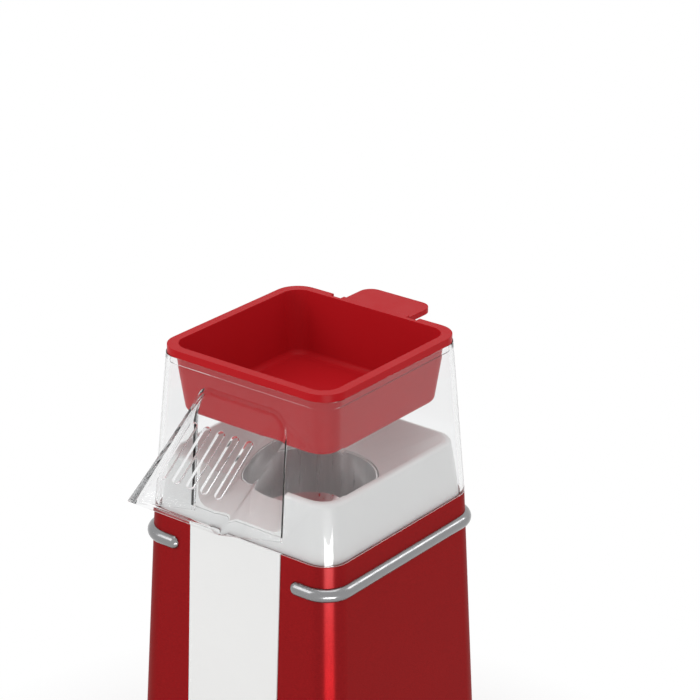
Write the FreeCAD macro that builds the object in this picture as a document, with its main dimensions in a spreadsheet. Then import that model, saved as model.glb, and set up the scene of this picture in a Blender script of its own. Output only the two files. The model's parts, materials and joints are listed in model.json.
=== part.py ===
import FreeCAD, Part
import math
import os
import re
import Sketcher

doc = FreeCAD.newDocument("popcorn_maker")
sheet = doc.addObject("Spreadsheet::Sheet", "dim")

# Driving sizes in millimetres and degrees
SIZES = {
    # Body
    "foot_height": 3.0,
    "foot_radius": 8.0,
    "foot_offset": 54.0,
    "base_height": 18.0,
    "base_floor": 2.5,
    "base_overhang": 2.0,
    "base_edge_fillet": 2.0,
    "lip_height": 4.0,
    "lip_thick": 2.5,
    "tray_slot_width": 3.0,
    "tray_slot_length": 60.0,
    "tray_slot_pitch": 7.0,
    "shell_height": 184.0,
    "shell_bottom_half": 68.0,
    "shell_top_half": 60.0,
    "shell_bottom_corner": 15.0,
    "shell_top_corner": 13.0,
    "shell_wall": 2.5,
    "panel_half": 29.0,
    "panel_thick": 1.4,
    "part_gap": 0.2,
    "seat_gap": 0.02,
    "cut_over": 1.0,
    # Trim band
    "band_drop": 15.0,
    "band_radius": 3.8,
    "band_sink": 0.8,
    "band_end": 40.0,
    # Hood and spout
    "hood_height": 83.0,
    "hood_top_half": 54.2,
    "hood_bottom_corner": 13.0,
    "hood_top_corner": 12.0,
    "hood_wall": 2.2,
    "hood_rim_height": 4.0,
    "hood_rim_step": 0.8,
    "spout_half": 29.0,
    "spout_wall": 2.0,
    "spout_rise": 70.5,
    "spout_tip_rise": 30.6,
    "spout_reach": 105.0,
    "spout_nose": 2.4,
    "spout_sill": 5.0,
    "spout_fillet": 9.0,
    "spout_root": 6.0,
    "slot_width": 4.0,
    "slot_length": 32.5,
    "slot_pitch": 8.8,
    "slot_reach": 80.75,
    # Scoop
    "scoop_depth": 32.0,
    "scoop_bottom_half": 47.0,
    "scoop_top_half": 51.2,
    "scoop_corner": 11.0,
    "scoop_floor_fillet": 3.0,
    "scoop_wall": 2.0,
    "scoop_rim": 4.0,
    "scoop_flange_half": 54.2,
    "scoop_flange_corner": 13.0,
    "handle_half": 21.0,
    "handle_length": 21.0,
    "handle_thick": 3.0,
    "handle_corner": 7.0,
    "rim_gap": 6.5,
    # Funnel deck
    "deck_plug": 12.0,
    "deck_height": 29.5,
    "deck_top_half": 53.4,
    "deck_corner": 12.0,
    "deck_wall": 2.5,
    "deck_edge_fillet": 2.4,
    "funnel_half": 50.4,
    "funnel_corner": 10.0,
    "funnel_skin": 3.0,
    "funnel_flat": 0.5,
    "hole_radius": 34.0,
    "hole_rise": 12.0,
    "sleeve_drop": 17.0,
    "sleeve_wall": 4.0,
    "ramp_half": 27.0,
    "ramp_lip_rise": 8.0,
    "ramp_floor": 4.5,
    "ramp_over": 10.0,
    "ramp_fillet": 7.0,
    "ledge_thick": 3.0,
    "ledge_width": 9.0,
    "boss_offset": 48.0,
    "boss_radius": 4.0,
    "boss_height": 13.0,
    # Popping chamber, duct and heater
    "chamber_wall": 0.8,
    "chamber_gap": 0.4,
    "chamber_step": 26.0,
    "chamber_neck": 4.0,
    "chamber_depth": 68.0,
    "chamber_recess": 0.5,
    "flange_thick": 1.0,
    "seal_thick": 1.0,
    "louvre_width": 1.4,
    "louvre_height": 14.0,
    "louvre_rise": 5.0,
    "louvre_depth": 3.0,
    "duct_wall": 1.0,
    "duct_gap": 0.3,
    "duct_ledge": 3.4,
    "duct_ledge_thick": 1.5,
    "duct_lap": 7.0,
    "duct_flange_radius": 46.0,
    "heater_rise": 35.0,
    "heater_height": 36.0,
    "heater_gap": 5.5,
    "heater_arm": 5.0,
    "mica_thick": 1.2,
    "former_gap": 0.3,
    "coil_radius": 30.0,
    "coil_wire": 0.9,
    "coil_pitch": 5.0,
    "thermostat_radius": 7.0,
    "thermostat_depth": 6.0,
    "thermostat_rise": 90.0,
    "fuse_radius": 2.2,
    "fuse_length": 14.0,
    # Chassis, motor and fan
    "chassis_half": 52.0,
    "chassis_thick": 2.0,
    "chassis_corner": 10.0,
    "post_offset": 44.0,
    "post_radius": 4.5,
    "screw_radius": 1.6,
    "screw_head_radius": 3.2,
    "screw_head_height": 1.8,
    "screw_length": 8.0,
    "eye_gap": 2.5,
    "inlet_radius": 7.0,
    "inlet_circle": 25.0,
    "duct_screw_circle": 42.5,
    "motor_radius": 15.0,
    "motor_length": 36.0,
    "motor_screw_offset": 9.0,
    "shaft_radius": 1.6,
    "bearing_gap": 0.3,
    "shaft_depth": 24.0,
    "fan_radius": 34.0,
    "fan_rise": 6.0,
    "fan_plate": 1.4,
    "fan_hub_radius": 6.0,
    "fan_hub_height": 14.0,
    "blade_height": 11.0,
    "blade_thick": 1.4,
    "blade_inner": 12.0,
    "blade_margin": 1.0,
    "board_radius": 13.0,
    "board_thick": 1.6,
    "diode_width": 2.8,
    "diode_length": 8.0,
    "diode_height": 3.0,
    "diode_pitch": 5.0,
    # Switch, gland and terminals
    "switch_half_x": 10.0,
    "switch_half_z": 13.0,
    "switch_wall": 1.8,
    "switch_depth": 14.0,
    "switch_flange": 2.2,
    "switch_flange_thick": 1.8,
    "rocker_gap": 0.5,
    "rocker_end_gap": 0.8,
    "rocker_rise": 3.2,
    "rocker_dip": 1.0,
    "rocker_depth": 2.0,
    "rocker_tilt": 8.0,
    "pivot_radius": 1.2,
    "pivot_gap": 0.3,
    "pivot_reach": 1.0,
    "gland_rise": 9.5,
    "gland_radius": 4.6,
    "gland_bore": 3.2,
    "gland_flange": 6.4,
    "gland_flange_thick": 2.0,
    "terminal_length": 26.0,
    "terminal_width": 11.0,
    "terminal_height": 10.0,
    "terminal_gap": 11.0,
    "terminal_pitch": 8.0,
    "terminal_well_radius": 2.2,
    "terminal_well_depth": 5.0,
}

# Sizes that follow from the driving sizes
DERIVED = {
    "floor_top_z": "foot_height + base_floor",
    "shell_bottom_z": "foot_height + base_height",
    "shell_top_z": "shell_bottom_z + shell_height",
    "rim_z": "shell_top_z + hood_height",
    "shell_slope": "(shell_bottom_half - shell_top_half) / shell_height",
    "shell_top_inner": "shell_top_half - shell_wall",
    "shell_bottom_inner": "shell_bottom_half - shell_wall",
    "base_half": "shell_bottom_half + base_overhang",
    "base_corner": "shell_bottom_corner + base_overhang",
    "lip_outer": "shell_bottom_inner - part_gap - lip_height * shell_slope",
    "lip_inner": "lip_outer - lip_thick",
    "lip_corner": "shell_bottom_corner - shell_wall - part_gap",
    "lip_top_z": "shell_bottom_z + lip_height",
    "hood_slope": "(shell_top_half - hood_top_half) / hood_height",
    "deck_bottom_z": "shell_top_z - deck_plug",
    "deck_top_z": "shell_top_z + deck_height",
    "deck_half": "shell_top_inner - part_gap",
    "hole_z": "shell_top_z + hole_rise",
    "sleeve_bottom_z": "hole_z - sleeve_drop",
    "sleeve_radius": "hole_radius + sleeve_wall",
    "chassis_z": "heater_z - heater_rise - chassis_thick",
    "chassis_top_z": "chassis_z + chassis_thick",
    "duct_radius": "sleeve_radius + duct_gap",
    "duct_outer": "duct_radius + duct_wall",
    "flange_top_z": "sleeve_bottom_z - seal_thick",
    "flange_bottom_z": "flange_top_z - flange_thick",
    "chamber_outer": "hole_radius - chamber_gap",
    "chamber_top_z": "hole_z - chamber_recess",
    "chamber_floor_z": "chamber_top_z - chamber_depth",
    "neck_outer": "chamber_outer - chamber_neck",
    "heater_z": "chamber_floor_z - heater_gap - heater_height",
    "motor_bottom_z": "chassis_z - motor_length",
    "fan_z": "chassis_top_z + fan_rise",
    "switch_z": "(lip_top_z + chassis_z) / 2",
    "switch_y": "shell_bottom_half - (switch_z - shell_bottom_z) * shell_slope",
    "gland_z": "foot_height + gland_rise",
    "terminal_y": "lip_inner - terminal_gap - terminal_width / 2",
    "spout_wall_y": "shell_top_half - spout_rise * hood_slope",
    "spout_slope": "(spout_rise - spout_tip_rise) / (spout_reach - spout_wall_y)",
    "spout_sill_y": "shell_top_half - spout_sill * hood_slope",
    "band_z": "shell_top_z - band_drop",
    "band_half": "shell_top_half + band_drop * shell_slope - band_sink",
    "band_corner": "shell_top_corner - band_sink",
    "axis_y": "(spout_reach - scoop_flange_half - handle_length) / 2",
}

# How many times each pattern repeats
TRAY_SLOTS = 9
INLETS = 8
DUCT_SCREWS = 4
LOUVRES = 18
DIODES = 4
BLADES = 12
SPOUT_SLOTS = 5
TERMINALS = 3

# How near an edge must come, in millimetres and in slope, to be the one that is picked
EDGE_MATCH = 1e-4
SLOPE_MATCH = 0.02


def fill_sheet():
    """Write each driving size as a labelled cell with an alias."""
    row = 1
    for alias, value in SIZES.items():
        sheet.set("A" + str(row), alias)
        sheet.set("B" + str(row), str(value))
        sheet.setAlias("B" + str(row), alias)
        row = row + 1
    doc.recompute()


def expand(text):
    """Turn size names into references to the sheet."""
    def swap(match):
        word = match.group()
        if word in DERIVED:
            return "(" + expand(DERIVED[word]) + ")"
        if word in SIZES:
            return "dim." + word
        return word
    return re.sub(r"[A-Za-z_]\w*", swap, text)


def number(text):
    """The present value of a size expression."""
    result = sheet.evalExpression(expand(text))
    return float(getattr(result, "Value", result))


def bind(item, prop, text):
    """Bind one property of an object to a size expression."""
    item.setExpression(prop, expand(text))
    return item


def place(item, x="0", y="0", z="0"):
    """Bind the position of an object."""
    bind(item, "Placement.Base.x", x)
    bind(item, "Placement.Base.y", y)
    bind(item, "Placement.Base.z", z)
    return item


def turn(item, axis, degrees):
    """Set the direction of an object before its position is bound."""
    direction = FreeCAD.Vector(*axis)
    item.Placement = FreeCAD.Placement(item.Placement.Base, FreeCAD.Rotation(direction, degrees))
    return item


def block(name, half_x, y_min, y_max, z_min, z_max, x_mid="0"):
    """A box that is centred on x_mid."""
    item = doc.addObject("Part::Box", name)
    bind(item, "Length", "2 * (" + half_x + ")")
    bind(item, "Width", "(" + y_max + ") - (" + y_min + ")")
    bind(item, "Height", "(" + z_max + ") - (" + z_min + ")")
    return place(item, "(" + x_mid + ") - (" + half_x + ")", y_min, z_min)


def rod(name, radius, z_min, z_max, x="0", y="0"):
    """An upright cylinder."""
    item = doc.addObject("Part::Cylinder", name)
    bind(item, "Radius", radius)
    bind(item, "Height", "(" + z_max + ") - (" + z_min + ")")
    return place(item, x, y, z_min)


def fuse(name, *shapes):
    """Join shapes into one solid."""
    item = doc.addObject("Part::MultiFuse", name)
    item.Shapes = list(shapes)
    item.Refine = True
    return item


def cut(name, base, *tools):
    """Take tools away from a base shape."""
    item = doc.addObject("Part::Cut", name)
    item.Base = base
    item.Tool = tools[0] if len(tools) == 1 else fuse(name + "_tools", *tools)
    item.Refine = True
    return item


def group(name, shapes):
    """Several separate solids as one sub-part."""
    item = doc.addObject("Part::Compound", name)
    item.Links = list(shapes)
    return item


def rounded(name, base, radius, wanted):
    """Round the edges for which the test holds."""
    doc.recompute()
    value = number(radius)
    edges = []
    for index, edge in enumerate(base.Shape.Edges):
        if wanted(edge):
            edges.append((index + 1, value, value))
    item = doc.addObject("Part::Fillet", name)
    item.Base = base
    item.Edges = edges
    return item


def at_height(text):
    """A test for level edges at one height."""
    level = number(text)

    def level_edge(edge):
        box = edge.BoundBox
        return abs(box.ZMin - level) < EDGE_MATCH and box.ZLength < EDGE_MATCH
    return level_edge


def pin(sketch, shape, point, across, text, label):
    """Bind one coordinate of a sketch point to a size expression."""
    value = number(text)
    kind = "DistanceX" if across else "DistanceY"
    if abs(value) < 1e-7:
        sketch.addConstraint(Sketcher.Constraint("PointOnObject", shape, point, -2 if across else -1))
        return
    if value > 0:
        index = sketch.addConstraint(Sketcher.Constraint(kind, -1, 1, shape, point, value))
    else:
        index = sketch.addConstraint(Sketcher.Constraint(kind, shape, point, -1, 1, -value))
        text = "-(" + text + ")"
    sketch.renameConstraint(index, label)
    bind(sketch, "Constraints." + label, text)


def polygon(sketch, points):
    """A closed outline with each corner bound to the sheet."""
    first = len(sketch.Geometry)
    corners = [FreeCAD.Vector(number(x), number(y), 0) for x, y in points]
    count = len(corners)
    for index in range(count):
        sketch.addGeometry(Part.LineSegment(corners[index], corners[(index + 1) % count]))
    for index in range(count):
        following = first + (index + 1) % count
        sketch.addConstraint(Sketcher.Constraint("Coincident", first + index, 2, following, 1))
    for index, (x, y) in enumerate(points):
        pin(sketch, first + index, 1, True, x, "x" + str(first + index))
        pin(sketch, first + index, 1, False, y, "y" + str(first + index))
    return sketch


def rounded_square(sketch, half, corner):
    """A square outline with rounded corners, bound to the sheet."""
    size = number(half)
    radius = number(corner)
    inner = size - radius
    up = FreeCAD.Vector(0, 0, 1)
    for turn_index in range(4):
        spin = FreeCAD.Rotation(up, 90 * turn_index)
        start = spin.multVec(FreeCAD.Vector(-inner, -size, 0))
        end = spin.multVec(FreeCAD.Vector(inner, -size, 0))
        middle = spin.multVec(FreeCAD.Vector(inner, -inner, 0))
        sketch.addGeometry(Part.LineSegment(start, end))
        begin_angle = math.radians(-90 + 90 * turn_index)
        circle = Part.Circle(middle, up, radius)
        sketch.addGeometry(Part.ArcOfCircle(circle, begin_angle, begin_angle + math.pi / 2))
    for index in range(8):
        sketch.addConstraint(Sketcher.Constraint("Tangent", index, 2, (index + 1) % 8, 1))
    sketch.addConstraint(Sketcher.Constraint("Horizontal", 0))
    sketch.addConstraint(Sketcher.Constraint("Vertical", 2))
    sketch.addConstraint(Sketcher.Constraint("Horizontal", 4))
    sketch.addConstraint(Sketcher.Constraint("Vertical", 6))
    for index in (3, 5, 7):
        sketch.addConstraint(Sketcher.Constraint("Equal", 1, index))
    mark = sketch.addConstraint(Sketcher.Constraint("Radius", 1, radius))
    sketch.renameConstraint(mark, "corner")
    bind(sketch, "Constraints.corner", corner)
    pin(sketch, 2, 1, True, half, "right")
    pin(sketch, 6, 1, True, "-(" + half + ")", "left")
    pin(sketch, 4, 1, False, half, "back")
    pin(sketch, 0, 1, False, "-(" + half + ")", "front")
    return sketch


def frustum(name, low_half, low_corner, low_z, high_half, high_corner, high_z):
    """A square tower with rounded corners between two heights."""
    sections = []
    for mark, half, corner, level in (
        ("low", low_half, low_corner, low_z),
        ("high", high_half, high_corner, high_z),
    ):
        sketch = doc.addObject("Sketcher::SketchObject", name + "_" + mark)
        rounded_square(sketch, half, corner)
        bind(sketch, "Placement.Base.z", level)
        sections.append(sketch)
    item = doc.addObject("Part::Loft", name)
    item.Sections = sections
    item.Solid = True
    item.Ruled = True
    item.Linearize = True
    return item


def body_sketch(body, name, role):
    """A sketch on one of a body's own origin planes."""
    sketch = body.newObject("Sketcher::SketchObject", name)
    plane = [item for item in body.Origin.OriginFeatures if item.Role == role][0]
    sketch.AttachmentSupport = [(plane, "")]
    sketch.MapMode = "FlatFace"
    return sketch


def revolved(name, points):
    """A body turned about the upright axis from an outline in radius and height."""
    body = doc.addObject("PartDesign::Body", name)
    sketch = body_sketch(body, name + "_outline", "XZ_Plane")
    polygon(sketch, points)
    turned = body.newObject("PartDesign::Revolution", name + "_turned")
    turned.Profile = sketch
    turned.ReferenceAxis = (sketch, ["V_Axis"])
    turned.Angle = 360
    doc.recompute()
    return body


def prism(name, points, half_width):
    """An outline in the side plane, drawn out evenly to both sides."""
    body = doc.addObject("PartDesign::Body", name)
    sketch = body_sketch(body, name + "_outline", "YZ_Plane")
    polygon(sketch, points)
    pad = body.newObject("PartDesign::Pad", name + "_pad")
    pad.Profile = sketch
    bind(pad, "Length", "2 * (" + half_width + ")")
    pad.SideType = "Symmetric"
    doc.recompute()
    return body


def screw(name, x, y, seat_z, head_down):
    """A pan-head screw with its head on one side of the seat."""
    if head_down:
        head = rod(name + "_head", "screw_head_radius", seat_z + " - screw_head_height", seat_z, x, y)
        shank = rod(name + "_shank", "screw_radius", seat_z, seat_z + " + screw_length", x, y)
    else:
        head = rod(name + "_head", "screw_head_radius", seat_z, seat_z + " + screw_head_height", x, y)
        shank = rod(name + "_shank", "screw_radius", seat_z + " - screw_length", seat_z, x, y)
    return fuse(name, head, shank)


def four_corners(offset):
    """The four corner positions at one offset from the middle."""
    places = []
    for sign_x in ("", "-"):
        for sign_y in ("", "-"):
            places.append((sign_x + "(" + offset + ")", sign_y + "(" + offset + ")"))
    return places


def holes(name, places, radius, z_min, z_max):
    """Upright cylinders at several places, used to bore holes."""
    return [rod(name + str(k), radius, z_min, z_max, x, y) for k, (x, y) in enumerate(places)]


def in_row(count, pitch):
    """Evenly spaced positions on both sides of the middle."""
    return [str(index - (count - 1) / 2) + " * " + pitch for index in range(count)]


def on_circle(count, radius, first_angle):
    """Evenly spaced positions on a circle."""
    places = []
    for index in range(count):
        angle = str(first_angle + 360 / count * index) + " deg"
        places.append((radius + " * cos(" + angle + ")", radius + " * sin(" + angle + ")"))
    return places


fill_sheet()
nodes = {}

# Base tray with an air grille, a locating lip and a gland hole
posts = four_corners("post_offset")
tray_blank = frustum(
    "tray_blank", "base_half", "base_corner", "foot_height", "base_half", "base_corner", "shell_bottom_z"
)
tray_soft = rounded("tray_soft", tray_blank, "base_edge_fillet", at_height("foot_height"))
tray_lip = frustum(
    "tray_lip", "lip_outer", "lip_corner", "shell_bottom_z - lip_thick",
    "lip_outer", "lip_corner", "lip_top_z",
)
tray_hollow = frustum(
    "tray_hollow", "lip_inner", "lip_corner - lip_thick", "floor_top_z",
    "lip_inner", "lip_corner - lip_thick", "lip_top_z + cut_over",
)
tray_slots = []
for index, slot_x in enumerate(in_row(TRAY_SLOTS, "tray_slot_pitch")):
    tray_slots.append(block(
        "tray_slot_" + str(index), "tray_slot_width / 2", "-tray_slot_length / 2", "tray_slot_length / 2",
        "foot_height - cut_over", "floor_top_z + cut_over", slot_x,
    ))
tray_gland = turn(doc.addObject("Part::Cylinder", "tray_gland"), (1, 0, 0), -90)
bind(tray_gland, "Radius", "gland_radius + part_gap / 2")
bind(tray_gland, "Height", "base_half - lip_inner + 2 * cut_over")
place(tray_gland, "0", "lip_inner - cut_over", "gland_z")
nodes["base_tray"] = cut(
    "base_tray", fuse("tray_body", tray_soft, tray_lip), tray_hollow, tray_gland, *tray_slots,
    *holes(
        "tray_bore", posts, "screw_radius + part_gap",
        "foot_height - cut_over", "floor_top_z + cut_over",
    ),
)

# Rubber feet under the tray
feet = holes("foot", four_corners("foot_offset"), "foot_radius", "0", "foot_height")
nodes["rubber_feet"] = group("rubber_feet", feet)

# Screws that hold the posts to the tray
nodes["base_screws"] = group(
    "base_screws",
    [screw("base_screw_" + str(k), x, y, "foot_height", True) for k, (x, y) in enumerate(posts)],
)

# Posts between the tray and the chassis plate
post_list = []
for index, (x, y) in enumerate(posts):
    column = rod("column_" + str(index), "post_radius", "floor_top_z", "chassis_z", x, y)
    bore = rod(
        "column_bore_" + str(index), "screw_radius + part_gap",
        "floor_top_z - cut_over", "chassis_z + cut_over", x, y,
    )
    post_list.append(cut("post_" + str(index), column, bore))
nodes["support_posts"] = group("support_posts", post_list)

# Chassis plate that carries the duct and the motor
chassis_blank = frustum(
    "chassis_blank", "chassis_half", "chassis_corner", "chassis_z",
    "chassis_half", "chassis_corner", "chassis_top_z",
)
inlets = on_circle(INLETS, "inlet_circle", 180 / INLETS)
duct_places = on_circle(DUCT_SCREWS, "duct_screw_circle", 0)
motor_places = [("motor_screw_offset", "0"), ("-motor_screw_offset", "0")]
plate_under = "chassis_z - cut_over"
plate_over = "chassis_top_z + cut_over"
nodes["chassis_plate"] = cut(
    "chassis_plate", chassis_blank,
    rod("chassis_eye", "shaft_radius + eye_gap", plate_under, plate_over),
    *holes("chassis_inlet", inlets, "inlet_radius", plate_under, plate_over),
    *holes("chassis_post", posts, "screw_radius + part_gap", plate_under, plate_over),
    *holes("chassis_duct", duct_places, "screw_radius + part_gap", plate_under, plate_over),
    *holes("chassis_motor", motor_places, "screw_radius + part_gap", plate_under, plate_over),
)
nodes["post_screws"] = group(
    "post_screws",
    [screw("post_screw_" + str(k), x, y, "chassis_top_z", False) for k, (x, y) in enumerate(posts)],
)

# Air duct with a lower ledge for the heater and an upper ledge for the chamber
duct_foot = "(chassis_top_z + duct_ledge_thick)"
duct_tube = revolved("duct_tube", [
    ("duct_radius", "chassis_top_z"),
    ("duct_flange_radius", "chassis_top_z"),
    ("duct_flange_radius", duct_foot),
    ("duct_outer", duct_foot),
    ("duct_outer", "sleeve_bottom_z + duct_lap"),
    ("duct_radius", "sleeve_bottom_z + duct_lap"),
    ("duct_radius", "flange_bottom_z"),
    ("duct_radius - duct_ledge", "flange_bottom_z"),
    ("duct_radius - duct_ledge", "flange_bottom_z - duct_ledge_thick"),
    ("duct_radius", "flange_bottom_z - duct_ledge_thick"),
    ("duct_radius", "heater_z"),
    ("duct_radius - duct_ledge", "heater_z"),
    ("duct_radius - duct_ledge", "heater_z - duct_ledge_thick"),
    ("duct_radius", "heater_z - duct_ledge_thick"),
])
duct_bores = holes(
    "duct_bore", duct_places, "screw_radius + part_gap",
    "chassis_top_z - cut_over", duct_foot + " + cut_over",
)
nodes["air_duct"] = cut("air_duct", duct_tube, *duct_bores)
nodes["duct_screws"] = group(
    "duct_screws",
    [screw("duct_screw_" + str(k), x, y, duct_foot, False) for k, (x, y) in enumerate(duct_places)],
)

# Popping chamber: a stepped metal cup with a collar and swirl louvres
chamber_cup = revolved("chamber_cup", [
    ("0", "chamber_floor_z"),
    ("neck_outer", "chamber_floor_z"),
    ("neck_outer", "chamber_top_z - chamber_step - chamber_neck"),
    ("chamber_outer", "chamber_top_z - chamber_step"),
    ("chamber_outer", "flange_bottom_z"),
    ("sleeve_radius - part_gap", "flange_bottom_z"),
    ("sleeve_radius - part_gap", "flange_top_z"),
    ("chamber_outer", "flange_top_z"),
    ("chamber_outer", "chamber_top_z"),
    ("chamber_outer - chamber_wall", "chamber_top_z"),
    ("chamber_outer - chamber_wall", "chamber_top_z - chamber_step + chamber_wall / 2"),
    ("neck_outer - chamber_wall", "chamber_top_z - chamber_step - chamber_neck + chamber_wall / 2"),
    ("neck_outer - chamber_wall", "chamber_floor_z + chamber_wall"),
    ("0", "chamber_floor_z + chamber_wall"),
])
louvres = []
for index in range(LOUVRES):
    louvre = doc.addObject("Part::Box", "louvre_" + str(index))
    bind(louvre, "Length", "neck_outer + cut_over")
    bind(louvre, "Width", "louvre_width")
    bind(louvre, "Height", "louvre_height")
    turn(louvre, (0, 0, 1), 360 / LOUVRES * index)
    louvres.append(louvre)
louvre_ring = group("louvre_ring", louvres)
place(louvre_ring, "0", "0", "chamber_floor_z + louvre_rise")
louvre_core = rod(
    "louvre_core", "neck_outer - louvre_depth", "chamber_floor_z",
    "chamber_floor_z + louvre_rise + louvre_height + cut_over",
)
louvre_cut = cut("louvre_cut", louvre_ring, louvre_core)
nodes["popping_chamber"] = cut("popping_chamber", chamber_cup, louvre_cut)

# Seal ring between the chamber collar and the deck sleeve
seal_ring = rod("seal_ring", "sleeve_radius - part_gap", "flange_top_z", "sleeve_bottom_z")
seal_bore = rod(
    "seal_bore", "chamber_outer + part_gap", "flange_top_z - cut_over", "sleeve_bottom_z + cut_over"
)
nodes["chamber_seal"] = cut("chamber_seal", seal_ring, seal_bore)

# Crossed heater former
former_parts = []
for mark, degrees in (("a", 0), ("b", 90)):
    for level, low, high, reach in (
        ("low", "0", "heater_arm", "duct_radius - former_gap"),
        ("mid", "0", "heater_height", "coil_radius - coil_wire - former_gap"),
        ("high", "heater_height - heater_arm", "heater_height", "duct_radius - former_gap"),
    ):
        sheet_part = doc.addObject("Part::Box", "former_" + mark + "_" + level)
        bind(sheet_part, "Length", "2 * (" + reach + ")")
        bind(sheet_part, "Width", "mica_thick")
        bind(sheet_part, "Height", "(" + high + ") - (" + low + ")")
        place(sheet_part, "-(" + reach + ")", "-mica_thick / 2", low)
        turned_part = doc.addObject("Part::Compound", "former_turn_" + mark + "_" + level)
        turned_part.Links = [sheet_part]
        turn(turned_part, (0, 0, 1), degrees)
        place(turned_part, "0", "0", "heater_z")
        former_parts.append(turned_part)
nodes["mica_former"] = fuse("mica_former", *former_parts)

# Heating coil wound round the former
coil_path = doc.addObject("Part::Helix", "coil_path")
bind(coil_path, "Pitch", "coil_pitch")
bind(coil_path, "Height", "heater_height - 2 * heater_arm - 4 * coil_wire")
bind(coil_path, "Radius", "coil_radius")
place(coil_path, "0", "0", "heater_z + heater_arm + 2 * coil_wire")
coil_section = doc.addObject("Part::Circle", "coil_section")
bind(coil_section, "Radius", "coil_wire")
turn(coil_section, (1, 0, 0), 90)
place(coil_section, "coil_radius", "0", "heater_z + heater_arm + 2 * coil_wire")
coil = doc.addObject("Part::Sweep", "heating_coil")
coil.Sections = [coil_section]
coil.Spine = (coil_path, [])
coil.Solid = True
coil.Frenet = True
nodes["heating_coil"] = coil

# Thermostat and thermal fuse on the duct
thermostat = turn(doc.addObject("Part::Cylinder", "thermostat"), (0, 1, 0), 90)
bind(thermostat, "Radius", "thermostat_radius")
bind(thermostat, "Height", "thermostat_depth")
place(thermostat, "duct_outer + seat_gap", "0", "chassis_top_z + thermostat_rise")
nodes["thermostat"] = thermostat
nodes["thermal_fuse"] = rod(
    "thermal_fuse", "fuse_radius", "chassis_top_z + thermostat_rise",
    "chassis_top_z + thermostat_rise + fuse_length", "0", "duct_outer + fuse_radius + seat_gap",
)

# Motor under the plate, its screws and its rectifier board
motor_body = rod("motor_body", "motor_radius", "motor_bottom_z", "chassis_z")
nodes["motor_can"] = cut(
    "motor_can", motor_body,
    rod("motor_bore", "shaft_radius + bearing_gap", "chassis_z - shaft_depth - cut_over", plate_over),
    *holes(
        "motor_tap", motor_places, "screw_radius + part_gap / 2",
        "chassis_z - screw_length - cut_over", plate_over,
    ),
)
nodes["motor_screws"] = group(
    "motor_screws",
    [screw("motor_screw_" + str(k), x, y, "chassis_top_z", False) for k, (x, y) in enumerate(motor_places)],
)
board_disc = rod("board_disc", "board_radius", "motor_bottom_z - board_thick", "motor_bottom_z")
diodes = []
diode_top = "motor_bottom_z - board_thick"
for index, diode_x in enumerate(in_row(DIODES, "diode_pitch")):
    diodes.append(block(
        "diode_" + str(index), "diode_width / 2", "-diode_length / 2", "diode_length / 2",
        diode_top + " - diode_height", diode_top, diode_x,
    ))
nodes["rectifier_board"] = fuse("rectifier_board", board_disc, *diodes)

# Motor shaft and fan wheel
nodes["motor_shaft"] = rod(
    "motor_shaft", "shaft_radius", "chassis_z - shaft_depth", "fan_z + fan_hub_height"
)
hub = rod("fan_hub", "fan_hub_radius", "fan_z", "fan_z + fan_hub_height")
fan_disc = rod("fan_disc", "fan_radius", "fan_z", "fan_z + fan_plate")
blades = []
for index in range(BLADES):
    blade = doc.addObject("Part::Box", "blade_" + str(index))
    bind(blade, "Length", "fan_radius - blade_inner - blade_margin")
    bind(blade, "Width", "blade_thick")
    bind(blade, "Height", "blade_height + fan_plate / 2")
    place(blade, "blade_inner", "-blade_thick / 2", "0")
    blade_turn = doc.addObject("Part::Compound", "blade_turn_" + str(index))
    blade_turn.Links = [blade]
    turn(blade_turn, (0, 0, 1), 360 / BLADES * index)
    place(blade_turn, "0", "0", "fan_z + fan_plate / 2")
    blades.append(blade_turn)
wheel = fuse("fan_wheel", hub, fan_disc, *blades)
fan_bore = rod("fan_bore", "shaft_radius", "fan_z - cut_over", "fan_z + fan_hub_height + cut_over")
nodes["fan_impeller"] = cut("fan_impeller", wheel, fan_bore)

# Red outer shell with a recess for the front strip and a ledge for the deck
shell_solid = frustum(
    "shell_solid", "shell_bottom_half", "shell_bottom_corner", "shell_bottom_z",
    "shell_top_half", "shell_top_corner", "shell_top_z",
)
shell_hollow = frustum(
    "shell_hollow", "shell_bottom_inner", "shell_bottom_corner - shell_wall", "shell_bottom_z",
    "shell_top_inner", "shell_top_corner - shell_wall", "shell_top_z",
)
ledge_half = "(shell_top_inner + deck_plug * shell_slope)"
ledge_root = ledge_half + " + shell_wall / 2"
shell_ledge = frustum(
    "shell_ledge", ledge_root, "shell_top_corner - shell_wall / 2", "deck_bottom_z - ledge_thick",
    ledge_root, "shell_top_corner - shell_wall / 2", "deck_bottom_z",
)
ledge_hole = frustum(
    "ledge_hole", ledge_half + " - ledge_width", "shell_top_corner - shell_wall",
    "deck_bottom_z - ledge_thick - cut_over",
    ledge_half + " - ledge_width", "shell_top_corner - shell_wall", "deck_bottom_z + cut_over",
)
deck_places = four_corners("boss_offset")
shell_ring = cut(
    "shell_ring", shell_ledge, ledge_hole,
    *holes(
        "ledge_bore", deck_places, "screw_radius + part_gap",
        "deck_bottom_z - ledge_thick - cut_over", "deck_bottom_z + cut_over",
    ),
)
shell_skin = cut("shell_skin", shell_solid, shell_hollow)
strip_room = prism("strip_room", [
    ("-shell_bottom_half + panel_thick - cut_over * shell_slope", "shell_bottom_z - cut_over"),
    ("-shell_top_half + panel_thick + cut_over * shell_slope", "shell_top_z + cut_over"),
    ("-shell_bottom_half - cut_over", "shell_top_z + cut_over"),
    ("-shell_bottom_half - cut_over", "shell_bottom_z - cut_over"),
], "panel_half + part_gap / 2")
switch_hole = doc.addObject("Part::Box", "switch_hole")
bind(switch_hole, "Length", "2 * (switch_half_x + part_gap)")
bind(switch_hole, "Width", "switch_depth + shell_wall")
bind(switch_hole, "Height", "2 * (switch_half_z + part_gap)")
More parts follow.
